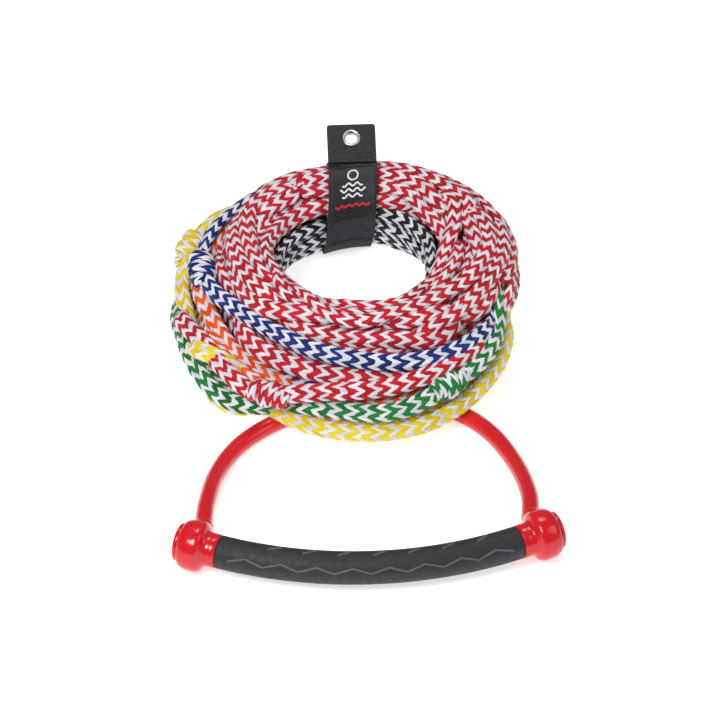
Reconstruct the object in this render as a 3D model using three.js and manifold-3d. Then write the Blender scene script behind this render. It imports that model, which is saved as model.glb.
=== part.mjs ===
// Water-ski tow rope set: a curved two-hand handle on a tubed bridle, its sectioned rope wound in one
// ring on top of the bridle, and a webbing rope keeper closed round the back of the ring.
// Millimetres, +Z up, handle in front (-Y), rope ring behind (+Y). The origin is the middle of the
// underside of the handle and keeper.
import * as THREE from "three";
import { mergeVertices } from "three/addons/utils/BufferGeometryUtils.js";
import Module from "manifold-3d";

const wasm = await Module();
wasm.setup();

// ---- driving dimensions ---------------------------------------------------------------------------
const GAP = 0.3; // between two pieces that touch
const SIDES = ["left", "right"];

const BAR_BEND_RADIUS = 308; // of the bar's centre line, in plan
const BAR_BEND_CENTRE_Y = -16;
const GRIP_HALF_WIDTH = 119.5; // from the middle to the end of the rubber, along X
const GRIP_RADIUS = 13.8;
const BAR_RADIUS = 10.8;
const BAR_WALL = 1.5;
const BAR_INTO_CAP = 6.5;
const BAR_PLUG_LENGTH = 5;

const CAP_RADIUS = 20.7; // the round barrel that the handle lies on
const CAP_NECK_RADIUS = GRIP_RADIUS;
const CAP_NECK_LENGTH = 7.5;
const CAP_BARREL_START = 14; // distances along the cap from the end of the rubber
const CAP_BARREL_END = 21.5;
const CAP_LENGTH = 31;
const DISC_THICKNESS = 4.5;
const CAP_LIP_RADIUS = 16.4;
const CAP_SEGMENTS = 24;
const KNOT_CHAMBER_RADIUS = 12.9;
const STOPPER_KNOT_RADIUS = 8.8;
const STOPPER_KNOT_HALF_THICKNESS = 3;
const STOPPER_KNOT_FROM_GRIP = 24.7;
const BOSS_FROM_GRIP = 16; // the hose's boss stands out of the barrel this far along the cap
const BOSS_RADIUS = 8.8;
const BOSS_LENGTH = 26;
const BOSS_INWARD = THREE.MathUtils.degToRad(8); // the hose leaves the cap leaning to the middle
const HOSE_SOCKET_DEPTH = 10;

const HOSE_RADIUS = 7;
const HOSE_WALL = 1.8;
const BRIDLE_ROPE_RADIUS = 4.7;
const APEX_X = 9; // where the two bridle legs meet, under the rope ring
const APEX_Y = -106;
const APEX_HALF_GAP = 14;
const LIFT_LINE_Y = -181; // the hoses bend here when the handle is picked up
const SPLICE = { width: 17, depth: 16, height: 10 };

const RING_X = 16; // centre of the rope ring
const RING_TILT = THREE.MathUtils.degToRad(4.3); // its front edge rests on the bridle
const BUNDLE_RADIUS = 91; // from the ring's centre to the middle of the bundle
const BUNDLE_HALF_WIDTH = 31;
const BUNDLE_HALF_HEIGHT = 37;
const BLACK_LAYER = 10.7; // the innermost turns, next to the hole
const RING_SEGMENTS = 34;
// [azimuth, r] of the wound bundle's inner and outer edge; 90 degrees is the keeper, at the back. The
// hole lies left of the middle, and the turns spread outwards on the left.
const INNER_EDGE = [[0, 43], [40, 50], [70, 58], [82, 60], [121, 60], [150, 75], [180, 75], [225, 68],
  [270, 61], [315, 51], [360, 43]];
const OUTER_EDGE = [[0, 117], [30, 119], [60, 121], [82, 122], [108, 122], [140, 130.5], [180, 132],
  [225, 127], [270, 122], [315, 119], [360, 117]];

const KEEPER_X = -11; // the keeper's middle, seen from the ring's centre
const KEEPER_CLEARANCE = 0.5;
const WEBBING_WIDTH = 40;
const WEBBING = 2;
const TAB_LENGTH = 34;
const TAB_THICKNESS = 3.6;
const TAB_RISE = THREE.MathUtils.degToRad(30);
const GROMMET_FROM_END = 13;
const GROMMET_HOLE_RADIUS = 5;
const GROMMET_RADIUS = 7.5;

const HANDLE_Z = CAP_RADIUS;
const GRIP_END_ANGLE = Math.asin(GRIP_HALF_WIDTH / BAR_BEND_RADIUS);

// ---- materials ------------------------------------------------------------------------------------
const material = (color, roughness, metalness = 0) =>
  new THREE.MeshStandardMaterial({ color, roughness, metalness });
const MATERIALS = {
  red: material(0xdf2128, 0.25),
  hose: material(0xdf2128, 0.3),
  rubber: material(0x3a383c, 0.75),
  aluminium: material(0xb9bcc2, 0.35, 1),
  foam: material(0xe8e6de, 0.9),
  webbing: material(0x2a2a2f, 0.85),
  label: material(0x17171b, 0.6),
  nickel: material(0xc9c9c4, 0.25, 1),
  hook: material(0x1d1d20, 0.95),
  thread: material(0xd8d8d8, 0.8),
  ropeRed: material(0xc52733, 0.8),
  ropeBlack: material(0x303136, 0.8),
  ropeOrange: material(0xf0702f, 0.8),
  ropeYellow: material(0xefd92a, 0.8),
  ropeGreen: material(0x249043, 0.8),
  ropeBlue: material(0x24479a, 0.8),
  ropeViolet: material(0x53307f, 0.8),
};

// ---- helpers --------------------------------------------------------------------------------------
const model = new THREE.Group();
const cordMeshes = new Set(); // rope pieces, which the frame's origin leaves out

function add(parent, name, geometry, look) {
  const mesh = new THREE.Mesh(geometry, look);
  mesh.name = name;
  parent.add(mesh);
  return mesh;
}

function addCord(parent, name, geometry, look) {
  const mesh = add(parent, name, geometry, look);
  cordMeshes.add(mesh);
  return mesh;
}

function toSolid(geometry) {
  const bare = geometry.index ? geometry.toNonIndexed() : geometry.clone();
  bare.deleteAttribute("normal");
  bare.deleteAttribute("uv");
  const merged = mergeVertices(bare, 1e-3);
  const vertProperties = merged.attributes.position.array;
  const triVerts = new Uint32Array(merged.index.array);
  return new wasm.Manifold(new wasm.Mesh({ numProp: 3, vertProperties, triVerts }));
}

function toGeometry(solid) {
  const mesh = solid.getMesh();
  const geometry = new THREE.BufferGeometry();
  geometry.setAttribute("position", new THREE.BufferAttribute(mesh.vertProperties, 3));
  geometry.setIndex(new THREE.BufferAttribute(mesh.triVerts, 1));
  geometry.computeVertexNormals();
  return geometry;
}

// A circle's corners; with an even number of sides two of them lie on the vertical.
function circlePoints(radius, sides) {
  return Array.from({ length: sides }, (_, i) => {
    const angle = (2 * Math.PI * i) / sides;
    return new THREE.Vector2(radius * Math.cos(angle), radius * Math.sin(angle));
  });
}

function ellipsePoints(centreR, centreZ, halfWidth, halfHeight, from, to, count) {
  return Array.from({ length: count + 1 }, (_, i) => {
    const angle = from + ((to - from) * i) / count;
    return new THREE.Vector2(
      centreR + halfWidth * Math.cos(angle),
      centreZ + halfHeight * Math.sin(angle),
    );
  });
}

function tubeAlong(path, outerRadius, innerRadius, sides, steps) {
  const section = new THREE.Shape(circlePoints(outerRadius, sides));
  if (innerRadius) section.holes.push(new THREE.Path(circlePoints(innerRadius, sides)));
  return new THREE.ExtrudeGeometry(section, { steps, extrudePath: path, bevelEnabled: false });
}

// The stretch of another curve between two shares of its length.
class Stretch extends THREE.Curve {
  constructor(whole, from, to) {
    super();
    this.whole = whole;
    this.from = from;
    this.to = to;
  }
  getPoint(t, target = new THREE.Vector3()) {
    return this.whole.getPointAt(this.from + (this.to - this.from) * t, target);
  }
}

// Turns a shape that was made about +Y so that +Y lies along a level direction and +Z stays up.
function alongLevel(geometry, direction, origin) {
  const up = new THREE.Vector3(0, 0, 1);
  const across = new THREE.Vector3().crossVectors(direction, up);
  const turn = new THREE.Matrix4().makeBasis(across, direction, up).setPosition(origin);
  return geometry.applyMatrix4(turn);
}

// A round solid from (radius, distance) corners, with a flat facet exactly underneath.
function turned(corners, segments = CAP_SEGMENTS) {
  const toFlats = 1 / Math.cos(Math.PI / segments);
  const profile = corners.map(([r, y]) => new THREE.Vector2(r * toFlats, y));
  return new THREE.LatheGeometry(profile, segments, Math.PI / segments);
}

function cylinderBetween(radius, from, to, segments = CAP_SEGMENTS) {
  return turned([[0, from], [radius, from], [radius, to], [0, to]], segments);
}

// ---- the bar's centre line ------------------------------------------------------------------------
class BarArc extends THREE.Curve {
  constructor(halfAngle) {
    super();
    this.halfAngle = halfAngle;
  }
  getPoint(t, target = new THREE.Vector3()) {
    const angle = this.halfAngle * (2 * t - 1);
    return target.set(
      BAR_BEND_RADIUS * Math.sin(angle),
      BAR_BEND_CENTRE_Y - BAR_BEND_RADIUS * Math.cos(angle),
      HANDLE_Z,
    );
  }
}

const sideSign = (side) => (side === "left" ? -1 : 1);

// Where the rubber ends, and the level direction in which the cap carries on from there.
function capPlace(side) {
  const sign = sideSign(side);
  const start = new BarArc(GRIP_END_ANGLE).getPoint(side === "left" ? 0 : 1);
  const outward = new THREE.Vector3(sign * Math.cos(GRIP_END_ANGLE), Math.sin(GRIP_END_ANGLE), 0);
  const bossOrigin = start.clone().addScaledVector(outward, BOSS_FROM_GRIP);
  const bossWay = new THREE.Vector3(-sign * Math.sin(BOSS_INWARD), Math.cos(BOSS_INWARD), 0);
  return { sign, start, outward, bossOrigin, bossWay };
}

// ---- handle ---------------------------------------------------------------------------------------
function gripGeometry() {
  return tubeAlong(new BarArc(GRIP_END_ANGLE - GAP / BAR_BEND_RADIUS), GRIP_RADIUS,
    BAR_RADIUS + GAP, 14, 14);
}

function barGeometry() {
  const path = new BarArc(GRIP_END_ANGLE + BAR_INTO_CAP / BAR_BEND_RADIUS);
  return tubeAlong(path, BAR_RADIUS, BAR_RADIUS - BAR_WALL, 14, 12);
}

function floatCoreGeometry() {
  const clear = (BAR_INTO_CAP - BAR_PLUG_LENGTH - GAP) / BAR_BEND_RADIUS;
  const path = new BarArc(GRIP_END_ANGLE + clear);
  return tubeAlong(path, BAR_RADIUS - BAR_WALL - 2 * GAP, 0, 10, 12);
}

function barPlugGeometry(side) {
  const { start, outward } = capPlace(side);
  const radius = BAR_RADIUS - BAR_WALL - 2 * GAP;
  return alongLevel(cylinderBetween(radius, BAR_INTO_CAP - BAR_PLUG_LENGTH + GAP, BAR_INTO_CAP, 16),
    outward, start);
}

function capOutline() {
  const shoulder = ellipsePoints(CAP_LIP_RADIUS, CAP_BARREL_END, CAP_RADIUS - CAP_LIP_RADIUS,
    CAP_LENGTH - CAP_BARREL_END, 0, Math.PI / 2, 4);
  return [
    [0, 0],
    [CAP_NECK_RADIUS, 0],
    [CAP_NECK_RADIUS, CAP_NECK_LENGTH],
    [CAP_NECK_RADIUS + 0.7, CAP_NECK_LENGTH + 2],
    [CAP_RADIUS - 4.6, CAP_BARREL_START - 3.2],
    [CAP_RADIUS - 1, CAP_BARREL_START - 1.8],
    [CAP_RADIUS, CAP_BARREL_START],
    ...shoulder.map((point) => [point.x, point.y]),
    [0, CAP_LENGTH],
  ];
}

function capGeometry(side) {
  const { start, outward, bossOrigin, bossWay } = capPlace(side);
  const past = 5; // a cutter runs this far past the face that it opens
  const onCap = (shape) => toSolid(alongLevel(shape, outward, start));
  const onBoss = (shape) => toSolid(alongLevel(shape, bossWay, bossOrigin));
  const body = onCap(turned(capOutline())).add(onBoss(cylinderBetween(BOSS_RADIUS, 0, BOSS_LENGTH, 16)));
  const barSocket = onCap(cylinderBetween(BAR_RADIUS + 0.4, -past, BAR_INTO_CAP + 1, 16));
  const chamber = onCap(cylinderBetween(KNOT_CHAMBER_RADIUS, BAR_INTO_CAP + GAP, CAP_LENGTH + past, 16));
  const hoseSocket = onBoss(
    cylinderBetween(HOSE_RADIUS + GAP, BOSS_LENGTH - HOSE_SOCKET_DEPTH, BOSS_LENGTH + past, 12));
  const ropeHole = onBoss(cylinderBetween(BRIDLE_ROPE_RADIUS + 0.7, 0, BOSS_LENGTH, 12));
  return toGeometry(
    body.subtract(barSocket).subtract(chamber).subtract(hoseSocket).subtract(ropeHole));
}

// The disc pressed into the cap's outer end, over the knot.
function endDiscGeometry(side) {
  const { start, outward } = capPlace(side);
  const plugStart = CAP_LENGTH - 3;
  const discStart = CAP_LENGTH + GAP;
  const discEnd = discStart + DISC_THICKNESS;
  const corners = [
    [0, plugStart],
    [KNOT_CHAMBER_RADIUS - 2 * GAP, plugStart],
    [KNOT_CHAMBER_RADIUS - 2 * GAP, discStart],
    [CAP_LIP_RADIUS - 0.8, discStart],
    [CAP_LIP_RADIUS - 0.8, discEnd - 2.6],
    [CAP_LIP_RADIUS - 2.2, discEnd - 0.9],
    [CAP_LIP_RADIUS - 5, discEnd],
    [0, discEnd],
  ];
  return alongLevel(turned(corners, 16), outward, start);
}

function stopperKnotGeometry(side) {
  const { start, outward } = capPlace(side);
  const knot = new THREE.SphereGeometry(1, 10, 8)
    .scale(STOPPER_KNOT_RADIUS, STOPPER_KNOT_HALF_THICKNESS, STOPPER_KNOT_RADIUS);
  return alongLevel(knot, outward, start.clone().addScaledVector(outward, STOPPER_KNOT_FROM_GRIP));
}

// ---- bridle ---------------------------------------------------------------------------------------
// Each leg's route in plan behind its cap.
const LEG_IN_PLAN = {
  left: [[-127.5, -241], [-119, -201], [-105, -170], [-85, -147.5], [-60, -130], [-32, -116],
    [APEX_X - APEX_HALF_GAP, APEX_Y - 1]],
  right: [[131, -242], [125, -204], [112, -167], [91.5, -139], [64, -120], [40, -110.5],
    [APEX_X + APEX_HALF_GAP, APEX_Y - 1]],
};
const LEG_ON_FLOOR_Y = -165; // the hose comes down from the cap and lies on the surface from here

class LegRoute extends THREE.Curve {
  constructor(side) {
    super();
    const { bossOrigin, bossWay } = capPlace(side);
    const socketBottom = BOSS_LENGTH - HOSE_SOCKET_DEPTH + GAP;
    const inSocket = bossOrigin.clone().addScaledVector(bossWay, socketBottom);
    const atMouth = bossOrigin.clone().addScaledVector(bossWay, BOSS_LENGTH);
    const behind = LEG_IN_PLAN[side].map(([x, y]) => new THREE.Vector3(x, y, HANDLE_Z));
    this.plan = new THREE.CatmullRomCurve3([inSocket, atMouth, ...behind], false, "centripetal");
    this.mouthY = atMouth.y;
  }
  getPoint(t, target = new THREE.Vector3()) {
    this.plan.getPoint(t, target);
    const down = THREE.MathUtils.smoothstep(target.y, this.mouthY, LEG_ON_FLOOR_Y);
    target.z = THREE.MathUtils.lerp(HANDLE_Z, HOSE_RADIUS, down);
    return target;
  }
}

// The share of the leg's length at which it crosses the lift line.
function liftShare(route) {
  const steps = 2000;
  for (let i = 0; i <= steps; i++) {
    if (route.getPointAt(i / steps).y >= LIFT_LINE_Y) return i / steps;
  }
  return 1;
}

function legStretches(side) {
  const route = new LegRoute(side);
  const cut = liftShare(route);
  const halfGap = GAP / route.getLength();
  return { front: new Stretch(route, 0, cut - halfGap), rear: new Stretch(route, cut + halfGap, 1) };
}

const hoseGeometry = (path, steps) =>
  tubeAlong(path, HOSE_RADIUS, HOSE_RADIUS - HOSE_WALL, 10, steps);

// The rope leaves its knot in the cap's barrel, turns through the boss and runs on inside the hose.
function frontRopeGeometry(side) {
  const { start, outward, bossOrigin, bossWay } = capPlace(side);
  const alongBoss = (distance) => bossOrigin.clone().addScaledVector(bossWay, distance);
  const front = legStretches(side).front;
  const hosePoints = [0.12, 0.3, 0.5, 0.7, 0.85, 0.996].map((t) => front.getPoint(t));
  const points = [
    start.clone().addScaledVector(outward, 13.4),
    alongBoss(6),
    alongBoss(13),
    alongBoss(21),
    ...hosePoints,
  ];
  return tubeAlong(new THREE.CatmullRomCurve3(points, false, "centripetal"),
    BRIDLE_ROPE_RADIUS, 0, 8, 16);
}

// Past the hose's end the rear rope runs straight on to the splice.
function rearRopeGeometry(side) {
  const rear = legStretches(side).rear;
  const intoSplice = new THREE.Vector3(
    APEX_X + sideSign(side) * (SPLICE.width / 2 + 4 * GAP), APEX_Y, HOSE_RADIUS);
  const points = [0.004, 0.15, 0.3, 0.45, 0.6, 0.75, 0.9, 0.98].map((t) => rear.getPoint(t));
  return tubeAlong(new THREE.CatmullRomCurve3([...points, intoSplice], false, "centripetal"),
    BRIDLE_ROPE_RADIUS, 0, 8, 12);
}

function spliceGeometry() {
  const { width, depth, height } = SPLICE;
  const corner = 3;
  const outline = new THREE.Shape();
  outline.moveTo(-depth / 2 + corner, -height / 2);
  outline.lineTo(depth / 2 - corner, -height / 2);
  outline.lineTo(depth / 2, -height / 2 + corner);
  outline.lineTo(depth / 2, height / 2 - corner);
  outline.lineTo(depth / 2 - corner, height / 2);
  outline.lineTo(-depth / 2 + corner, height / 2);
  outline.lineTo(-depth / 2, height / 2 - corner);
  outline.lineTo(-depth / 2, -height / 2 + corner);
  const block = new THREE.ExtrudeGeometry(outline, { depth: width, bevelEnabled: false });
  block.translate(0, 0, -width / 2);
  block.rotateX(Math.PI / 2).rotateZ(Math.PI / 2);
  return block.translate(APEX_X, APEX_Y, HOSE_RADIUS);
}

// ---- rope ring ------------------------------------------------------------------------------------
// In the ring's own frame r is the distance from its axis and z the height over its tilted underside.
const lieDown = (lathe) => lathe.rotateX(Math.PI / 2);

function bundleOutline(fromAngle, toAngle, count) {
  return ellipsePoints(BUNDLE_RADIUS, BUNDLE_HALF_HEIGHT, BUNDLE_HALF_WIDTH, BUNDLE_HALF_HEIGHT,
    fromAngle, toAngle, count);
}

function ringFrom(outline) {
  return lieDown(new THREE.LatheGeometry([...outline, outline[0].clone()], RING_SEGMENTS));
}

// The edge's r at an azimuth, easing from one corner of its list to the next.
function edgeAt(edge, azimuth) {
  const after = Math.max(edge.findIndex(([corner]) => corner >= azimuth), 1);
  const [from, fromR] = edge[after - 1];
  const [to, toR] = edge[after];
  return THREE.MathUtils.lerp(fromR, toR, THREE.MathUtils.smoothstep(azimuth, from, to));
}

// Spreads an evenly turned ring to the bundle's real inner and outer edges.
function spreadToEdges(geometry) {
  const place = geometry.attributes.position;
  for (let i = 0; i < place.count; i++) {
    const x = place.getX(i);
    const y = place.getY(i);
    const r = Math.hypot(x, y);
    const azimuth = (THREE.MathUtils.radToDeg(Math.atan2(y, x)) + 360) % 360;
    const share = (r - BUNDLE_RADIUS) / BUNDLE_HALF_WIDTH;
    const inner = edgeAt(INNER_EDGE, azimuth);
    const outer = edgeAt(OUTER_EDGE, azimuth);
    const spread = THREE.MathUtils.lerp(inner, outer, (share + 1) / 2) / r;
    place.setXY(i, x * spread, y * spread);
  }
  return geometry;
}

// How far out the bundle's face is at a height over its underside.
function bundleFace(azimuth, z) {
  const inner = edgeAt(INNER_EDGE, azimuth);
  const outer = edgeAt(OUTER_EDGE, azimuth);
  const share = Math.sqrt(1 - ((z - BUNDLE_HALF_HEIGHT) / BUNDLE_HALF_HEIGHT) ** 2);
  return (inner + outer) / 2 + (share * (outer - inner)) / 2;
}

// The bundle is split on an upright line: the black turns are inside it, the red ones outside.
const splitAngle = Math.acos((BLACK_LAYER - BUNDLE_HALF_WIDTH) / BUNDLE_HALF_WIDTH);

function mainRingGeometry() {
  const shift = GAP / BUNDLE_HALF_WIDTH;
  return spreadToEdges(ringFrom(bundleOutline(-splitAngle + shift, splitAngle - shift, 14)));
}

function blackRingGeometry() {
  const shift = GAP / BUNDLE_HALF_WIDTH;
  return spreadToEdges(
    ringFrom(bundleOutline(splitAngle + shift, 2 * Math.PI - splitAngle - shift, 7)));
}

// The coloured sections lie loose outside the bundle on the left and front: [azimuth, r] route,
// height z of the middle, and the half width along r and half height of the turns together. A path in
// a level plane carries its section with the section's first axis upright.
const FACE_ROW_Z = 31.5;
const BLUE_Z = 46.5;
const besideFace = (azimuths, z, away) => azimuths.map((at) => [at, bundleFace(at, z) + away]);
const LOOSE_SECTIONS = [
  { name: "rope_yellow", look: "ropeYellow", z: 2.4, half: [9, 7.2],
    route: [[168, 150], [185, 150], [205, 153], [225, 160], [250, 163], [270, 162], [290, 155],
      [310, 143], [330, 130]] },
  { name: "rope_green", look: "ropeGreen", z: 17, half: [8, 7],
    route: [[150, 149], [165, 158], [185, 162], [210, 166], [240, 160], [270, 158], [290, 149],
      [310, 139], [330, 130]] },
  { name: "rope_violet", look: "ropeViolet", z: FACE_ROW_Z, half: [6.4, 7],
    route: besideFace([232, 250, 270, 290, 310, 330, 346], FACE_ROW_Z, 8) },
  { name: "rope_blue", look: "ropeBlue", z: BLUE_Z, half: [7, 7],
    route: besideFace([124, 140, 160, 180, 200, 225, 250, 270, 290, 310, 334], BLUE_Z, 9) },
  { name: "rope_orange", look: "ropeOrange", z: FACE_ROW_Z, half: [7, 7],
    route: besideFace([184, 197, 210, 223], FACE_ROW_Z, 9) },
  { name: "rope_red_short", look: "ropeRed", z: FACE_ROW_Z, half: [7, 7],
    route: [[247, 146], [258, 146], [270, 146], [282, 146]] },
];

function looseSectionGeometry({ route, z, half }) {
  const points = route.map(([azimuth, r]) => {
    const angle = THREE.MathUtils.degToRad(azimuth);
    return new THREE.Vector3(r * Math.cos(angle), r * Math.sin(angle), z);
  });
  const corners = ellipsePoints(0, 0, half[1], half[0], 0, 2 * Math.PI, 8).slice(0, 8);
  return new THREE.ExtrudeGeometry(new THREE.Shape(corners), {
    steps: 3 * (route.length - 1),
    extrudePath: new THREE.CatmullRomCurve3(points),
    bevelEnabled: false,
  });
}

// The loop knots that join one section to the next.
const KNOTS = [
  { name: "knot_yellow", look: "ropeYellow", azimuth: 157, r: 152 },
  { name: "knot_blue", look: "ropeBlue", azimuth: 174, r: 150 },
  { name: "knot_red", look: "ropeRed", azimuth: 236.5, r: 153 },
  { name: "knot_green", look: "ropeGreen", azimuth: 292, r: 150 },
];
const KNOT_HALF = [11, 11, 7];

function knotGeometry({ azimuth, r }) {
  const angle = THREE.MathUtils.degToRad(azimuth);
  const knot = new THREE.SphereGeometry(1, 10, 8).scale(...KNOT_HALF);
  return knot.translate(r * Math.cos(angle), r * Math.sin(angle), FACE_ROW_Z);
}

// ---- rope keeper ----------------------------------------------------------------------------------
// The webbing follows the rope: each layer is a band turned about the ring's axis and cut to width by
// two upright planes. "grow" is its distance from the rope's bundle, and angles go round the bundle
// from its outer side over the top.
function bandOutline(grow, from, to, count) {
  return ellipsePoints(BUNDLE_RADIUS, BUNDLE_HALF_HEIGHT, BUNDLE_HALF_WIDTH + grow,
    BUNDLE_HALF_HEIGHT + grow, from, to, count);
}

function cutToKeeper(solid, width) {
  const depth = 200;
  const slab = new THREE.BoxGeometry(width, depth, 200).translate(KEEPER_X, depth / 2, 0);
  return toGeometry(solid.intersect(toSolid(slab)));
}

function keeperLayer([growFrom, growTo], fromDegrees, toDegrees, width, count) {
  const from = THREE.MathUtils.degToRad(fromDegrees);
  const to = THREE.MathUtils.degToRad(toDegrees);
  const outside = bandOutline(growTo, from, to, count);
  const inside = bandOutline(growFrom, from, to, count).reverse();
  return cutToKeeper(toSolid(ringFrom([...outside, ...inside])), width);
}

function keeperLoopGeometry() {
  const count = 28;
  const ring = (grow) => toSolid(ringFrom(bandOutline(grow, 0, 2 * Math.PI, count).slice(0, count)));
  const shell = ring(KEEPER_CLEARANCE + WEBBING).subtract(ring(KEEPER_CLEARANCE));
  return cutToKeeper(shell, WEBBING_WIDTH);
}

// The layers under and on the flap, counted outwards from the loop.
const LOOP_TOP = KEEPER_CLEARANCE + WEBBING;
const LOOP_PATCH = [LOOP_TOP + GAP, LOOP_TOP + GAP + 0.9];
const HOOK_PATCH = [LOOP_PATCH[1] + GAP, LOOP_PATCH[1] + GAP + 0.9];
const FLAP = [HOOK_PATCH[1] + GAP, HOOK_PATCH[1] + GAP + 1.8];
const LABEL = [FLAP[1] + GAP, FLAP[1] + GAP + 0.6];
const FLAP_TOP_DEGREES = 97;

// The tab's own frame: x runs from its root to its tip, y is the way its upper face looks.
const TAB_ROOT = new THREE.Vector2(BUNDLE_RADIUS + 2, 2 * BUNDLE_HALF_HEIGHT + LOOP_TOP + 1.2);

function onTab(geometry) {
  geometry.rotateZ(TAB_RISE);
  geometry.translate(TAB_ROOT.x, TAB_ROOT.y, 0);
  geometry.rotateX(Math.PI / 2);
  return geometry.rotateZ(Math.PI / 2).translate(KEEPER_X, 0, 0);
}

function tabGeometry() {
  const corner = 3;
  const half = WEBBING_WIDTH / 2;
  const outline = new THREE.Shape([
    new THREE.Vector2(0, -half),
    new THREE.Vector2(TAB_LENGTH - corner, -half),
    new THREE.Vector2(TAB_LENGTH, -half + corner),
    new THREE.Vector2(TAB_LENGTH, half - corner),
    new THREE.Vector2(TAB_LENGTH - corner, half),
    new THREE.Vector2(0, half),
  ]);
  const hole = circlePoints(GROMMET_HOLE_RADIUS + 1.1, 16);
  const holeAt = new THREE.Vector2(TAB_LENGTH - GROMMET_FROM_END, 0);
  outline.holes.push(new THREE.Path(hole.map((point) => point.add(holeAt))));
  const slab = new THREE.ExtrudeGeometry(outline, { depth: TAB_THICKNESS, bevelEnabled: false });
  return onTab(slab.rotateX(-Math.PI / 2));
}

function onGrommet(lathe) {
  return onTab(lathe.translate(TAB_LENGTH - GROMMET_FROM_END, 0, 0));
}

const GROMMET_PLATE = 0.9;

// The eyelet: its barrel goes through the webbing and its flange lies on the front face.
function grommetFrontGeometry() {
  const corners = [
    [GROMMET_HOLE_RADIUS, -GAP - GROMMET_PLATE],
    [GROMMET_HOLE_RADIUS + 0.7, -GAP - GROMMET_PLATE],
    [GROMMET_HOLE_RADIUS + 0.7, TAB_THICKNESS + GAP],
    [GROMMET_RADIUS, TAB_THICKNESS + GAP],
    [GROMMET_RADIUS, TAB_THICKNESS + GAP + GROMMET_PLATE],
    [GROMMET_HOLE_RADIUS, TAB_THICKNESS + GAP + GROMMET_PLATE],
    [GROMMET_HOLE_RADIUS, -GAP - GROMMET_PLATE],
  ];
  return onGrommet(turned(corners, 16));
}

// The washer that the barrel is rolled over on the back.
function grommetBackGeometry() {
  const corners = [
    [GROMMET_HOLE_RADIUS + 1, -GAP - GROMMET_PLATE],
    [GROMMET_RADIUS, -GAP - GROMMET_PLATE],
    [GROMMET_RADIUS, -GAP],
    [GROMMET_HOLE_RADIUS + 1, -GAP],
    [GROMMET_HOLE_RADIUS + 1, -GAP - GROMMET_PLATE],
  ];
  return onGrommet(turned(corners, 16));
}

// The box of thread across the tab's root, as one low ridge.
function tabStitchGeometry() {
  const half = WEBBING_WIDTH / 2 - 3;
  const thread = 0.8;
  const outline = new THREE.Shape([
    new THREE.Vector2(3, -half),
    new THREE.Vector2(9, -half),
    new THREE.Vector2(9, half),
    new THREE.Vector2(3, half),
  ]);
  outline.holes.push(new THREE.Path([
    new THREE.Vector2(3 + thread, -half + thread),
    new THREE.Vector2(9 - thread, -half + thread),
    new THREE.Vector2(9 - thread, half - thread),
    new THREE.Vector2(3 + thread, half - thread),
  ]));
  const ridge = new THREE.ExtrudeGeometry(outline, { depth: 0.5, bevelEnabled: false });
  return onTab(ridge.rotateX(-Math.PI / 2).translate(0, TAB_THICKNESS + GAP, 0));
}

// ---- assembly -------------------------------------------------------------------------------------
function buildHandle() {
  const handle = new THREE.Group();
  add(handle, "grip_sleeve", gripGeometry(), MATERIALS.rubber);
  add(handle, "bar_tube", barGeometry(), MATERIALS.aluminium);
  add(handle, "float_core", floatCoreGeometry(), MATERIALS.foam);
  for (const side of SIDES) {
    add(handle, `${side}_bar_plug`, barPlugGeometry(side), MATERIALS.rubber);
    add(handle, `${side}_end_cap`, capGeometry(side), MATERIALS.red);
    add(handle, `${side}_end_disc`, endDiscGeometry(side), MATERIALS.red);
    add(handle, `${side}_stopper_knot`, stopperKnotGeometry(side), MATERIALS.ropeRed);
    add(handle, `${side}_bridle_hose`, hoseGeometry(legStretches(side).front, 12), MATERIALS.hose);
    add(handle, `${side}_bridle_rope`, frontRopeGeometry(side), MATERIALS.ropeRed);
  }
  return handle;
}

function buildBridle() {
  const bridle = new THREE.Group();
  for (const side of SIDES) {
    add(bridle, `${side}_hose_rear`, hoseGeometry(legStretches(side).rear, 10), MATERIALS.hose);
    add(bridle, `${side}_rope_rear`, rearRopeGeometry(side), MATERIALS.ropeRed);
  }
  add(bridle, "bridle_splice", spliceGeometry(), MATERIALS.ropeRed);
  return bridle;
}

// Lifted so that the webbing under the back of the ring just touches the surface.
function ringHeight() {
  const halfHeight = BUNDLE_HALF_HEIGHT + LOOP_TOP;
  const halfWidth = BUNDLE_HALF_WIDTH + LOOP_TOP;
  const reach = Math.hypot(halfHeight * Math.cos(RING_TILT), halfWidth * Math.sin(RING_TILT));
  const middle = BUNDLE_HALF_HEIGHT * Math.cos(RING_TILT) - BUNDLE_RADIUS * Math.sin(RING_TILT);
  return reach - middle;
}

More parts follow.
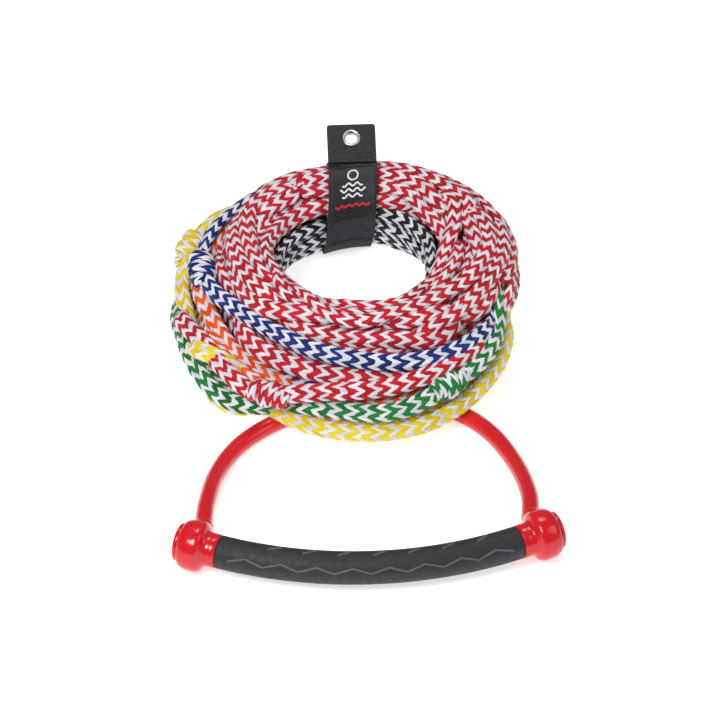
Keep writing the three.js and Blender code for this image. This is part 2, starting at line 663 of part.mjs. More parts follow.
function buildRing() {
  const ring = new THREE.Group();
  ring.position.set(RING_X, 0, ringHeight());
  ring.rotation.x = -RING_TILT;
  addCord(ring, "rope_main", mainRingGeometry(), MATERIALS.ropeRed);
  addCord(ring, "rope_black", blackRingGeometry(), MATERIALS.ropeBlack);
  for (const section of LOOSE_SECTIONS) {
    addCord(ring, section.name, looseSectionGeometry(section), MATERIALS[section.look]);
  }
  for (const knot of KNOTS) addCord(ring, knot.name, knotGeometry(knot), MATERIALS[knot.look]);
  add(ring, "keeper_strap", keeperLoopGeometry(), MATERIALS.webbing);
  add(ring, "loop_patch", keeperLayer(LOOP_PATCH, 144, 190, 35, 8), MATERIALS.hook);
  add(ring, "hook_patch", keeperLayer(HOOK_PATCH, 144, 190, 35, 8), MATERIALS.hook);
  const flap = keeperLayer(FLAP, FLAP_TOP_DEGREES, 195, WEBBING_WIDTH, 13);
  add(ring, "keeper_flap", flap, MATERIALS.webbing);
  add(ring, "label_panel", keeperLayer(LABEL, 103, 163, 38, 8), MATERIALS.label);
  add(ring, "keeper_tab", tabGeometry(), MATERIALS.webbing);
  add(ring, "tab_stitching", tabStitchGeometry(), MATERIALS.thread);
  add(ring, "grommet_front", grommetFrontGeometry(), MATERIALS.nickel);
  add(ring, "grommet_back", grommetBackGeometry(), MATERIALS.nickel);
  return ring;
}

model.add(buildHandle(), buildBridle(), buildRing());

// The origin: middle of the underside of everything but the free rope.
model.updateMatrixWorld(true);
const box = new THREE.Box3();
model.traverse((piece) => {
  if (piece.isMesh && !cordMeshes.has(piece)) box.expandByObject(piece, true);
});
model.position.set(-(box.min.x + box.max.x) / 2, -(box.min.y + box.max.y) / 2, -box.min.z);

export default model;
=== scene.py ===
"""Looks of the water-ski tow rope set: coiled braided rope, webbing keeper, tubed bridle and handle."""
import math
from dataclasses import dataclass

import bmesh
import bpy
import numpy as np
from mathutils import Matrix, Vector


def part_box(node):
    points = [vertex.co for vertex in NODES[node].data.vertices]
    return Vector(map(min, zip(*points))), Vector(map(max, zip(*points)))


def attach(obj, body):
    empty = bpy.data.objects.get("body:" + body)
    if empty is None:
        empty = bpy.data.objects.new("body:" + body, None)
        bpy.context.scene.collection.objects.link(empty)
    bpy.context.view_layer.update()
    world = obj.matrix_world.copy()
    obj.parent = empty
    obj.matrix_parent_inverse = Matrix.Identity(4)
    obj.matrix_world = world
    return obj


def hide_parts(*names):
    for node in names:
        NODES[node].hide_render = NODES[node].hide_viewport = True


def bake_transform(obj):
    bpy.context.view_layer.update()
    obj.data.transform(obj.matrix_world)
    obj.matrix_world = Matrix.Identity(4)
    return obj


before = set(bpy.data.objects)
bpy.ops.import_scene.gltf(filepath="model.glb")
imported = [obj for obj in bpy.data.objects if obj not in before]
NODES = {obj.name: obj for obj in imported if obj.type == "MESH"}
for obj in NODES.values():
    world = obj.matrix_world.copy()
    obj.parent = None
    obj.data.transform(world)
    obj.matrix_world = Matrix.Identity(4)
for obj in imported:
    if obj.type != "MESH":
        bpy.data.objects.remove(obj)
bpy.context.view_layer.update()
MM = 0.001  # every size below is in millimetres
rng = np.random.default_rng(7)

# ---- driving dimensions, as the frame has them ----
ORIGIN_Y = 104.127  # the rope ring's centre in the frame
RING_X = 16.0
RING_Z = 9.396
RING_TILT = math.radians(4.3)
BUNDLE_RADIUS = 91.0
BUNDLE_HALF_WIDTH = 31.0
BUNDLE_HALF_HEIGHT = 37.0
BUNDLE_SETTLED = 5.0  # how much lower the front of the bundle has settled
# (azimuth, r) of the wound bundle's inner and outer edge; the back, with the keeper, is near 90 degrees
INNER_EDGE = ((0, 43), (40, 50), (70, 59), (84, 64), (110, 65), (125, 66), (150, 71), (180, 72),
              (225, 68), (270, 61), (315, 51), (360, 43))
OUTER_EDGE = ((0, 122), (30, 123), (60, 122), (82, 122), (108, 122), (135, 132), (152, 132.5),
              (170, 127), (225, 126), (270, 122), (315, 120), (360, 122))

CAMERA_ELEVATION = 42.0
CAMERA_DISTANCE = 8.0  # metres

ROPE_HALF_WIDTH = 7.1  # the braid is hollow, so it lies flattened
ROPE_HALF_THICKNESS = 4.25
ROPE_WIDTH = 2 * ROPE_HALF_WIDTH

GRIP_BEND = 308.0  # the curved bar's radius, about a centre behind it
GRIP_BEND_CENTRE = -16.0 + ORIGIN_Y
GRIP_END_ANGLE = math.asin(119.5 / GRIP_BEND)
CAP_RADIUS = 20.7
HANDLE_Z = CAP_RADIUS  # the handle lies on its caps
HOSE_RADIUS = 7.0
KEEPER_AZIMUTH = 97.0  # the keeper's middle, seen from the ring's centre


# ---- camera ----
def make_camera():
    """A long lens from far away: the view is nearly parallel."""
    turn = math.radians(-2.66)
    elevation = math.radians(CAMERA_ELEVATION)
    ahead = Vector((-math.sin(turn), math.cos(turn), 0))
    right = Vector((math.cos(turn), math.sin(turn), 0))
    up = Vector((0, 0, 1))
    forward = ahead * math.cos(elevation) - up * math.sin(elevation)
    image_up = ahead * math.sin(elevation) + up * math.cos(elevation)
    aim = up * 0.03 + right * 0.00186 + image_up * 0.011
    data = bpy.data.cameras.new("camera")
    data.sensor_width = 36
    data.lens = 493.8
    data.clip_end = 40
    camera = bpy.data.objects.new("camera", data)
    camera.location = aim - forward * CAMERA_DISTANCE
    camera.rotation_euler = (math.pi / 2 - elevation, 0, turn)
    bpy.context.scene.collection.objects.link(camera)
    bpy.context.scene.camera = camera


make_camera()


# ---- small helpers ----
def smooth(low, high, value):
    t = np.clip((value - low) / (high - low), 0, 1)
    return t * t * (3 - 2 * t)


def unit(vectors):
    length = np.linalg.norm(vectors, axis=-1, keepdims=True)
    return vectors / np.maximum(length, 1e-9)


def new_object(name, mesh, materials, body=None, replaces=()):
    """A new piece; body may be left out, and the piece is then attached to no body."""
    piece = bpy.data.objects.new(name, mesh)
    bpy.context.scene.collection.objects.link(piece)
    for material in materials:
        mesh.materials.append(material)
    if body:
        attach(piece, body)
    if replaces:
        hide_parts(*replaces)
    return piece


def grid_mesh(name, points, slots=None, ring=False):
    """A closed mesh from rows of points in mm. The columns join up round each row. The last row
    joins the first in a ring, or else both ends are capped."""
    rows, columns = points.shape[:2]
    verts = points.reshape(-1, 3) * MM
    row = np.arange(rows if ring else rows - 1)[:, None] * columns
    next_row = (row + columns) % (rows * columns)
    column = np.arange(columns)
    after = (column + 1) % columns
    quads = np.stack([row + column, row + after, next_row + after, next_row + column],
                     axis=-1).reshape(-1, 4)
    corner = [verts[quads[:, k]] for k in range(3)]
    tri = np.zeros((0, 3), dtype=np.int64)
    if not ring:
        first_middle = len(verts)
        last_row = first_middle - columns
        verts = np.vstack([verts, points[[0, -1]].mean(1) * MM])
        tri = np.vstack([np.stack([0 * column + first_middle, after, column], axis=-1),
                         np.stack([0 * column + first_middle + 1, last_row + column,
                                   last_row + after], axis=-1)])
    if (np.cross(corner[0], corner[1]) * corner[2]).sum() < 0:
        quads, tri = quads[:, ::-1], tri[:, ::-1]
    mesh = bpy.data.meshes.new(name)
    mesh.vertices.add(len(verts))
    mesh.vertices.foreach_set("co", verts.astype(np.float32).ravel())
    loops = np.concatenate([quads.ravel(), tri.ravel()])
    starts = np.concatenate([np.arange(len(quads)) * 4, quads.size + np.arange(len(tri)) * 3])
    mesh.loops.add(len(loops))
    mesh.loops.foreach_set("vertex_index", loops.astype(np.int32))
    mesh.polygons.add(len(starts))
    mesh.polygons.foreach_set("loop_start", starts.astype(np.int32))
    mesh.polygons.foreach_set("use_smooth", np.ones(len(starts), dtype=bool))
    if slots is not None:
        index = np.concatenate([slots.ravel(), np.zeros(len(tri), dtype=np.int64)])
        mesh.polygons.foreach_set("material_index", index.astype(np.int32))
    mesh.update(calc_edges=True)
    mesh.validate()
    return mesh


def catmull(points, per_span):
    """A smooth curve through points, with per_span steps between two of them."""
    p = np.vstack([2 * points[0] - points[1], points, 2 * points[-1] - points[-2]])
    t = (np.arange(per_span) / per_span)[None, :, None]
    a, b, c, d = (p[k:len(p) - 3 + k, None, :] for k in range(4))
    curve = 0.5 * (2 * b + (c - a) * t + (2 * a - 5 * b + 4 * c - d) * t ** 2
                   + (3 * b - 3 * c + d - a) * t ** 3)
    return np.vstack([curve.reshape(-1, points.shape[1]), points[-1:]])


# ---- materials ----
def linear(hex_colour):
    """The linear colour of an sRGB hex number."""
    parts = [(hex_colour >> shift & 255) / 255 for shift in (16, 8, 0)]
    return tuple(p / 12.92 if p < 0.04045 else ((p + 0.055) / 1.055) ** 2.4 for p in parts) + (1,)


class Look:
    """A material under construction: the shader and short ways to add nodes to it."""

    def __init__(self, name, colour, roughness, metallic=0.0):
        self.material = bpy.data.materials.new(name)
        self.material.use_nodes = True
        self.tree = self.material.node_tree
        self.shader = self.tree.nodes["Principled BSDF"]
        self.shader.inputs["Base Color"].default_value = linear(colour)
        self.shader.inputs["Roughness"].default_value = roughness
        self.shader.inputs["Metallic"].default_value = metallic
        self.place = self.tree.nodes.new("ShaderNodeTexCoord").outputs["Object"]

    def node(self, kind, inputs=None, **settings):
        node = self.tree.nodes.new(kind)
        for key, value in settings.items():
            setattr(node, key, value)
        for key, value in (inputs or {}).items():
            if isinstance(value, bpy.types.NodeSocket):
                self.tree.links.new(value, node.inputs[key])
            else:
                node.inputs[key].default_value = value
        return node

    def noise(self, scale, detail=3.0, stretch=None):
        place = self.place
        if stretch:
            place = self.node("ShaderNodeMapping", {"Vector": place, "Scale": stretch}).outputs[0]
        return self.node("ShaderNodeTexNoise", {"Vector": place, "Scale": scale,
                                                "Detail": detail}).outputs["Fac"]

    def mapped(self, value, low, high, from_low=0.3, from_high=0.7):
        return self.node("ShaderNodeMapRange", {"Value": value, "From Min": from_low,
                         "From Max": from_high, "To Min": low, "To Max": high}).outputs[0]

    def roughen(self, value, low, high):
        self.tree.links.new(self.mapped(value, low, high), self.shader.inputs["Roughness"])

    def vary(self, value, dark, light):
        """The base colour runs from dark to light with the value."""
        mix = self.node("ShaderNodeMix", data_type="RGBA")
        self.tree.links.new(self.mapped(value, 0, 1), mix.inputs[0])
        mix.inputs[6].default_value = linear(dark)
        mix.inputs[7].default_value = linear(light)
        self.tree.links.new(mix.outputs[2], self.shader.inputs["Base Color"])

    def bump(self, height, depth):
        """Small relief, with its depth in mm."""
        node = self.node("ShaderNodeBump", {"Height": height, "Distance": depth * MM})
        self.tree.links.new(node.outputs[0], self.shader.inputs["Normal"])


def rope_yarn(name, colour):
    """Polypropylene filament yarn: fine streaks of fibre and a soft sheen."""
    look = Look(name, colour, 0.62)
    fibre = look.noise(900, 2.0)
    look.roughen(fibre, 0.5, 0.75)
    look.bump(fibre, 0.25)
    look.shader.inputs["Sheen Weight"].default_value = 0.06
    look.shader.inputs["Sheen Roughness"].default_value = 0.5
    look.shader.inputs["Specular IOR Level"].default_value = 0.22
    return look.material


def surface(name, colour, rough_spots=None, bumps=None, metallic=0.0):
    """A plain material. rough_spots: lowest and highest roughness, then the noise's scale, detail and
    stretch. bumps: depth in mm, then the noise's scale and detail."""
    look = Look(name, colour, rough_spots[0] if rough_spots else 0.85, metallic)
    if rough_spots:
        look.roughen(look.noise(*rough_spots[2:]), *rough_spots[:2])
    if bumps:
        look.bump(look.noise(*bumps[1:]), bumps[0])
    return look


# Two colours of each yarn: its own for most stitches, and a dimmed copy that is painted shade.
ROPE_COLOURS = {
    "red": (0xC81A28, 0xB0131F),
    "black": (0x1E1F25, 0x15161A),
    "orange": (0xEE5C18, 0xDC4C0C),
    "yellow": (0xEBD418, 0xDDC00A),
    "green": (0x197F33, 0x126B2A),
    "blue": (0x123079, 0x0E2562),
    "violet": (0x482776, 0x3A1E63),
}
# White yarn: its own colour, and a dimmed copy that is painted shade.
WHITE_SHADES = (0xE6E5EB, 0xD6D4DE)


def yarns(name, shades):
    """The stitches' materials: colour, white, colour with painted shade, white with painted shade."""
    colour, shaded_colour = (rope_yarn(f"yarn_{name}_{k}", shade) for k, shade in enumerate(shades))
    return [colour, WHITE_YARN[0], shaded_colour, WHITE_YARN[1]]


WHITE_YARN = [rope_yarn(f"yarn_white_{k}", shade) for k, shade in enumerate(WHITE_SHADES)]
YARNS = {name: yarns(name, shades) for name, shades in ROPE_COLOURS.items()}


# ---- rope: where each turn lies ----
# In the ring's frame a place is (azimuth, r, z): r from the ring's axis, z over its tilted underside.
STATIONS = 48  # round the ring; turns are kept apart in the section plane at each
STEP = 360 / STATIONS


def bundle_at(azimuth):
    """The wound bundle's section there: its middle's r, its half width and its half height, which is
    also its middle's height."""
    inner = edge_at(INNER_EDGE, azimuth)
    outer = edge_at(OUTER_EDGE, azimuth)
    settled = BUNDLE_SETTLED * smooth(0.2, 1, -np.sin(np.radians(azimuth)))
    return (inner + outer) / 2, (outer - inner) / 2, BUNDLE_HALF_HEIGHT - settled / 2


def bundle_middle(azimuth):
    """The (r, z) middle of the bundle's section."""
    return np.stack(bundle_at(azimuth)[::2], axis=-1)


def edge_at(edge, azimuth):
    """The edge's r at an azimuth, easing from one corner of its list to the next."""
    at = np.asarray(azimuth) % 360
    corners = np.array(edge, dtype=float)
    after = np.clip(np.searchsorted(corners[:, 0], at), 1, len(corners) - 1)
    low, high = corners[after - 1], corners[after]
    t = smooth(low[..., 0], high[..., 0], at)
    return low[..., 1] + (high[..., 1] - low[..., 1]) * t


def ring_to_frame(azimuth, r, z):
    angle = np.radians(azimuth)
    x = r * np.cos(angle)
    y = r * np.sin(angle)
    cos, sin = math.cos(RING_TILT), math.sin(RING_TILT)
    return np.stack([RING_X + x, ORIGIN_Y + y * cos + z * sin, RING_Z - y * sin + z * cos], axis=-1)


def over_floor(azimuth, r, height):
    """The ring place of a strand's middle that is seen at (azimuth, r) from straight above and lies
    at a height over the floor."""
    angle = math.radians(azimuth)
    x, y, up = r * math.cos(angle), r * math.sin(angle), height - RING_Z
    cos, sin = math.cos(RING_TILT), math.sin(RING_TILT)
    y, z = y * cos - up * sin, y * sin + up * cos
    turns = round((azimuth - math.degrees(math.atan2(y, x))) / 360)
    return (math.degrees(math.atan2(y, x)) + 360 * turns, math.hypot(x, y), z)


def in_bundle(azimuth, across, up):
    """The ring place at a share of the bundle's section, from -1 to 1 each way."""
    middle_r, half_width, half_height = bundle_at(azimuth)
    inset = ROPE_HALF_THICKNESS
    return (azimuth, middle_r + across * (half_width - inset), half_height + up * (half_height - inset))


# Layers of the wound bundle: depth of the turns' middles and how many turns each layer has.
LAYERS = ((4.6, 14), (13.3, 10), (22.0, 6))


def slot_place(azimuth, layer, turn):
    """Where a turn of a layer lies: turn counts round the section from its outer side over the top."""
    depth, count = LAYERS[layer]
    middle_r, half_width, half_height = bundle_at(azimuth)
    angle = 2 * np.pi * (turn + 0.5) / count
    return np.stack([middle_r + (half_width - depth) * np.cos(angle),
                     half_height + (half_height - depth) * np.sin(angle)], axis=-1)


# The order in which each long section fills its places, as (layer, turn).
RED_ORDER = ([(2, 4), (2, 5), (2, 0), (2, 1)] + [(1, k) for k in (3, 2, 1, 0, -1, -2)]
             + [(0, k) for k in (5, 4, 3, 2, 1, 0, -1, -2)])
BLACK_ORDER = [(2, 3)] + [(1, k) for k in (5, 6, 7)] + [(0, k) for k in (10, 9, 8, 7, 6)]
SHIFT_FROM = 95.0  # between these azimuths every turn moves on to its next place
SHIFT_TO = 205.0


@dataclass
class Strand:
    """One rope section as a row of stations."""
    colour: str
    azimuth: np.ndarray
    place: np.ndarray  # (r, z)
    held: np.ndarray  # how firmly it keeps to its first place
    loose: np.ndarray  # 0 in the bundle, 1 outside it
    normal: np.ndarray = None  # the way its flat side looks


def wound(colour, order, wobble):
    """A section wound into the bundle: one turn per place in the order."""
    stations = np.arange(len(order) * STATIONS + 1)
    azimuth = SHIFT_FROM + stations * STEP
    place = np.zeros((len(stations), 2))
    for i, angle in enumerate(azimuth):
        turn = min(int((angle - SHIFT_FROM) // 360), len(order) - 1)
        here = slot_place(angle, *order[turn])
        before = slot_place(angle, *order[max(turn - 1, 0)])
        moved = smooth(SHIFT_FROM, SHIFT_TO, SHIFT_FROM + (angle - SHIFT_FROM) % 360)
        place[i] = before + (here - before) * moved
    place += wobble * slow_noise(len(stations), 14)
    return Strand(colour, azimuth, place, np.full(len(stations), 0.03), np.zeros(len(stations)))


def slow_noise(count, span, size=2):
    """Smooth random values, about one wave in span steps."""
    knots = rng.normal(0, 1, (count // span + 4, size))
    return catmull(knots, span)[:count]


LAID_HELD = 0.35


def laid(colour, route):
    """A section laid along a given route. What lies outside the bundle is loose."""
    places = []
    for step in route:
        places += hidden(*step) if len(step) == 4 else [over_floor(*step)]
    places = np.array(places, dtype=float)
    azimuth = np.arange(math.ceil(places[0, 0] / STEP), math.floor(places[-1, 0] / STEP) + 1) * STEP
    fine = catmull(places, 24)
    place = np.stack([np.interp(azimuth, fine[:, 0], fine[:, k]) for k in (1, 2)], axis=-1)
    middle_r, half_width, half_height = bundle_at(azimuth)
    out = np.hypot((place[:, 0] - middle_r) / half_width, place[:, 1] / half_height - 1)
    loose = smooth(0.85, 1.1, out)
    return Strand(colour, azimuth, place, 0.02 + LAID_HELD * loose, loose)


def detour(strand, turn, start, end, r, height, held=0.3):
    """One turn of a wound section leaves the bundle's face between two azimuths."""
    base = 360 * turn
    for i, angle in enumerate(strand.azimuth):
        amount = smooth(start, start + 30, angle - base) * (1 - smooth(end - 30, end, angle - base))
        if amount > 0:
            target = over_floor(angle, r, height)[1:]
            strand.place[i] += (np.array(target) - strand.place[i]) * amount
            strand.held[i] += held * amount
            strand.loose[i] = max(strand.loose[i], amount)


def hidden(start, end, across, up):
    """Places inside the bundle from one azimuth to another."""
    return [in_bundle(angle, across, up) for angle in np.arange(start, end + 1, 25.0)]


# The sections laid along a listed route: their colour and route. A step is (azimuth, r, height over the
# floor) as seen from straight above, or (first azimuth, last azimuth, across, up) inside the bundle.
ROUTES = {
    "rope_yellow": ("yellow", [
        (80, 110, 0.6, 0.1), (124, 117, 34), (136, 130, 40), (143, 139, 45), (150, 147, 46),
        (157, 152, 41), (163, 154.5, 37), (171, 155, 33), (179, 155, 30), (186, 153.5, 25),
        (191, 151, 20), (197, 153, 18), (202, 160, 25), (206.5, 166, 36), (211, 167.5, 46),
        (215, 162, 47), (219, 150, 34), (225, 141, 18), (235, 139, 10), (250, 142, 9), (268, 144, 10),
        (283, 146, 12), (297, 143, 15), (310, 137, 19), (325, 128, 25), (337, 116, 33),
        (360, 470, 0.55, -0.45), (485, 122, 20), (500, 132, 15), (515, 139, 12), (530, 145, 8),
        (545, 148, 6), (560, 151, 5), (569, 155, 5), (577, 166, 6), (582, 168, 7), (587, 160, 6),
        (593, 153, 6), (598, 156, 12), (603, 161, 19), (614, 166, 21), (632, 166, 21), (645, 161, 21),
        (654, 154, 23), (663, 147, 25), (675, 138, 29), (689, 125, 34), (697, 117, 37),
        (720, 830, 0.35, -0.6), (845, 118, 10), (870, 126, 7), (900, 130, 7), (930, 136, 8)]),
    "rope_green": ("green", [
        (60, 125, 0.5, -0.1), (140, 128, 20), (155, 138, 13), (168, 149, 12), (176, 156, 15),
        (184, 160, 20), (194, 161, 25), (201, 163.5, 25), (208, 167, 22), (215.5, 167.5, 14),
        (221, 166, 11), (229, 162, 11), (236, 155, 15), (243, 152, 27), (250, 157, 35), (260, 158, 36),
        (272, 161, 37), (283, 154, 39), (292, 146, 43), (303, 141, 46), (309, 137, 47), (318, 129, 48),
        (327, 119, 44), (345, 470, 0.5, 0.0), (485, 122, 33), (500, 130, 24), (520, 136, 18),
        (540, 140, 16), (558, 146, 15), (574, 152, 12), (585, 153, 11), (592, 152, 10)]),
    "rope_blue": ("blue", [
        (10, 95, 0.55, 0.4), (112, 110, 42), (127, 115, 45), (136, 122, 54), (143, 127, 59),
        (150, 131.5, 58), (156, 134.5, 57), (164, 138, 55), (177, 139.5, 52), (190, 133, 53),
        (202, 125.5, 58), (217, 121.5, 62), (233, 121.5, 65), (244, 125, 66), (262, 127, 65),
        (277, 130, 63), (298, 132, 61), (308, 127, 58), (317, 124, 53), (325, 118, 46),
        (340, 480, 0.4, 0.0), (490, 530, 0.4, 0.0)]),
    "rope_orange": ("orange", [
        (60, 125, 0.4, 0.2), (140, 124, 44), (150, 129, 47), (160, 133, 46), (170, 137, 44),
        (180, 140.5, 45), (188, 141.5, 45), (195, 139, 42), (202, 138, 38), (211, 139.5, 36),
        (220, 139, 34), (228, 136, 30), (240, 135, 28), (255, 141, 28), (270, 144, 30), (285, 143, 34),
        (296, 138, 34), (310, 129, 29), (330, 118, 30), (345, 470, 0.2, -0.2), (485, 117, 24),
        (500, 124, 24), (520, 130, 26), (545, 135, 28), (562, 147, 31), (575, 149, 32), (585, 147, 28),
        (596, 143, 22), (612, 141, 14), (640, 138, 14), (665, 125, 14), (685, 113, 15),
        (705, 830, 0.0, -0.75), (845, 112, 12), (870, 119, 12), (900, 123, 12), (940, 124, 13),
        (980, 126, 16), (1010, 128, 22), (1040, 126, 22)]),
    "rope_violet": ("violet", [
        (164, 118, 30), (186, 122, 28), (202, 123, 29), (220, 125, 31), (236, 128, 33), (246, 131, 36),
        (258, 131, 36), (275, 129, 36), (290, 130, 41), (303, 133, 46), (313, 128, 45), (325, 116, 40),
        (340, 515, 0.5, -0.2)]),
    "rope_red_short": ("red", [
        (232, 169, 42), (239, 168, 45), (247, 160, 50), (256, 152, 51), (274, 146, 52), (291, 138, 55),
        (301, 134, 56), (314, 126, 51), (325, 117, 42), (340, 470, 0.7, -0.1), (480, 535, 0.6, 0.1)]),
}
# The long red section's last stretch leaves the bundle and runs to the first knot.
TAIL = [
    (95, 116, 20), (120, 119, 18), (145, 127, 12), (160, 134, 8), (172, 141, 8), (182, 149, 12),
    (189, 157, 23), (195, 161.5, 33), (201.5, 158, 36), (208.5, 155, 38), (217.5, 158.5, 40),
    (225, 163.5, 40), (232, 166.5, 38), (241, 165, 40)]
DETOUR = (192, 330, 134, 51)  # from, to, r and height over the floor


def lay_sections():
    """Every section's first layout, by its name."""
    red = wound("red", RED_ORDER, 2.6)
    strands = {"rope_main": red, "rope_black": wound("black", BLACK_ORDER, 2.2)}
    for name, (colour, route) in ROUTES.items():
        strands[name] = laid(colour, route)
    tail = laid("red", TAIL)
    keep = int(round((SHIFT_FROM + 360 * len(RED_ORDER) - red.azimuth[0]) / STEP))
    tail.azimuth = tail.azimuth + (red.azimuth[keep] - tail.azimuth[0])
    for key in ("azimuth", "place", "held", "loose"):
        setattr(red, key, np.concatenate([getattr(red, key)[:keep], getattr(tail, key)]))
    detour(red, len(RED_ORDER) - 2, *DETOUR)
    return strands


# Turns next to each other on the bundle's face that change places: (first turn, from, to) azimuths.
CROSSINGS = ((-8, 232, 318), (-6, 300, 395), (-7, 20, 72), (-5, 150, 238), (-4, 262, 402),
             (-3, 118, 190), (-6, 118, 175), (-8, 345, 430), (-7, 205, 262), (-5, 300, 345),
             (-6, 225, 285))


def cross_over(strand):
    """Neighbouring turns change places, one passing over the other."""
    for first, start, end in CROSSINGS:
        turns = len(RED_ORDER) + first
        a = slice_of(strand, turns, start, end)
        b = slice_of(strand, turns + 1, start, end)
        count = min(len(a), len(b))
        a, b = a[:count], b[:count]
        share = np.linspace(0, 1, count)
        swapped = smooth(0, 0.3, share) * (1 - smooth(0.7, 1, share))
        crossing = 4 * swapped * (1 - swapped)
        gap = strand.place[b] - strand.place[a]
        outward_a = unit(strand.place[a] - bundle_middle(strand.azimuth[a] % 360))
        strand.place[a] += gap * swapped[:, None] + outward_a * 5.0 * crossing[:, None]
        strand.place[b] -= gap * swapped[:, None] + outward_a * 3.5 * crossing[:, None]


def slice_of(strand, turn, start, end):
    """The stations of one turn of the wound section between two azimuths."""
    base = 360 * turn + (0 if start >= SHIFT_FROM else 360)
    return np.where((strand.azimuth >= base + start) & (strand.azimuth <= base + end))[0]


SETTLE_ROUNDS = 160
SIDES_OVERLAP = 0.9  # turns side by side press into each other this far


def settle(strands):
    """Pushes turns apart in each section plane, keeps them in the bundle, over the floor and smooth."""
    azimuth = np.concatenate([s.azimuth for s in strands])
    place = np.concatenate([s.place for s in strands])
    target = place.copy()
    held = np.concatenate([s.held for s in strands])[:, None]
    loose = np.concatenate([s.loose for s in strands])
    station = np.round(azimuth / STEP).astype(int) % STATIONS
    lists = [np.where(station == k)[0] for k in range(STATIONS)]
    width = max(len(one) for one in lists)
    table = np.full((STATIONS, width), -1)
    for k, one in enumerate(lists):
        table[k, :len(one)] = one
    real = table >= 0
    pair = real[:, :, None] & real[:, None, :] & ~np.eye(width, dtype=bool)[None]
    middle = bundle_middle(azimuth)
    half = np.stack(bundle_at(azimuth)[1:], axis=-1)
    inner = half - ROPE_HALF_THICKNESS
    strap = strap_share(azimuth)
    mobility = (1 - 0.7 * loose)[:, None]
    ends = np.cumsum([len(s.azimuth) for s in strands])
    between_ends = np.ones(len(azimuth), dtype=bool)
    between_ends[ends - 1] = False
    between_ends[np.concatenate([[0], ends[:-1]])] = False
    inner_stations = np.where(between_ends)[0]
    thick = 2 * ROPE_HALF_THICKNESS
    wide = ROPE_WIDTH - SIDES_OVERLAP
    for _ in range(SETTLE_ROUNDS):
        normal = face_normal(place, middle, half, loose)
        p = place[table]
        n = normal[table]
        gap = p[:, :, None] - p[:, None]
        n2 = unit(n[:, :, None] + n[:, None] + 1e-6)
        along = (gap * n2).sum(-1)
        t2 = np.stack([-n2[..., 1], n2[..., 0]], axis=-1)
        across = (gap * t2).sum(-1)
        near = np.sqrt((along / thick) ** 2 + (across / wide) ** 2)
        press = np.where(pair, np.clip(1 - near, 0, 1), 0)
        way = (n2 * (along / thick)[..., None] + t2 * (across / wide)[..., None])
        way = way / np.maximum(near, 0.05)[..., None]
        push = (way * press[..., None] * 0.42 * thick).sum(2)
        move = np.zeros_like(place)
        move[table[real]] = push[real]
        place = place + np.clip(move, -3, 3) * mobility
        # smooth along the strand
        k = inner_stations
        place[k] += 0.22 * ((place[k - 1] + place[k + 1]) / 2 - place[k])
        place = place + (target - place) * held
        # keep the wound turns in the bundle
        share = np.sqrt((((place - middle) / inner) ** 2).sum(-1))
        pull = np.where(share > 1, 1 - 1 / np.maximum(share, 1), 0) * (1 - loose)
        firm = 0.4 + 0.55 * strap
        place = place + (middle - place) * (pull * firm)[:, None]
        # keep everything over the floor and over the bridle
        frame_place = ring_to_frame(azimuth, place[:, 0], place[:, 1])
        lift = np.maximum(floor_under(frame_place) - frame_place[:, 2], 0)
        place[:, 1] += lift * 0.8
    normal = face_normal(place, middle, half, loose)
    start = 0
    for strand in strands:
        count = len(strand.azimuth)
        strand.place = place[start:start + count]
        strand.normal = normal[start:start + count]
        start += count


LOOSE_RISE = math.radians(42)


def strap_share(azimuth):
    """1 under the keeper, falling to 0 either side of it."""
    from_keeper = np.abs((azimuth - KEEPER_AZIMUTH + 180) % 360 - 180)
    return 1 - smooth(14, 30, from_keeper)


def face_normal(place, middle, half, loose):
    """The way a strand's flat side looks: out of the bundle, or up and outwards when it is loose."""
    out = unit((place - middle) / half ** 2 + 1e-9)
    up = np.array([math.cos(LOOSE_RISE), math.sin(LOOSE_RISE)])
    return unit(out * (1 - loose)[:, None] + up * loose[:, None])


# ---- bridle route ----
APEX = (9.0, -106 + ORIGIN_Y)
LEG_IN_PLAN = {
    "left": [[-127.5, -241], [-119, -201], [-105, -170], [-85, -147.5], [-60, -130], [-32, -116],
             [-5, -107]],
    "right": [[131, -242], [125, -204], [112, -167], [91.5, -139], [64, -120], [40, -110.5], [23, -107]],
}
LEG_ON_FLOOR_Y = -165 + ORIGIN_Y  # the hose lies on the floor from here
BOSS_FROM_GRIP = 16.0
BOSS_TURN = math.radians(8)
BOSS_LENGTH = 26.0
SOCKET_DEPTH = 10.0
STOPPER_KNOT_FROM_GRIP = 24.7


def cap_place(side):
    """Where the rubber ends, the way the cap carries on, and the boss that the hose leaves from."""
    sign = -1 if side == "left" else 1
    cos, sin = math.cos(GRIP_END_ANGLE), math.sin(GRIP_END_ANGLE)
    start = np.array([sign * GRIP_BEND * sin, GRIP_BEND_CENTRE - GRIP_BEND * cos, HANDLE_Z])
    outward = np.array([sign * cos, sin, 0])
    boss = start + outward * BOSS_FROM_GRIP
    boss_way = np.array([-sign * math.sin(BOSS_TURN), math.cos(BOSS_TURN), 0])
    return sign, start, outward, boss, boss_way


def leg_route(side, spans=24):
    """The hose's middle line from its socket to its rear end."""
    _, _, _, boss, boss_way = cap_place(side)
    plan = [boss + boss_way * (BOSS_LENGTH - SOCKET_DEPTH + 0.3), boss + boss_way * BOSS_LENGTH]
    plan += [np.array([x, y + ORIGIN_Y, HANDLE_Z]) for x, y in LEG_IN_PLAN[side]]
    line = catmull(np.array(plan), spans)
    down = smooth(plan[1][1], LEG_ON_FLOOR_Y, line[:, 1])
    line[:, 2] = HANDLE_Z + (HOSE_RADIUS - HANDLE_Z) * down
    return line


LEGS = {side: leg_route(side) for side in ("left", "right")}


ON_FLOOR = 6.0  # height of a strand's middle when it lies on the floor


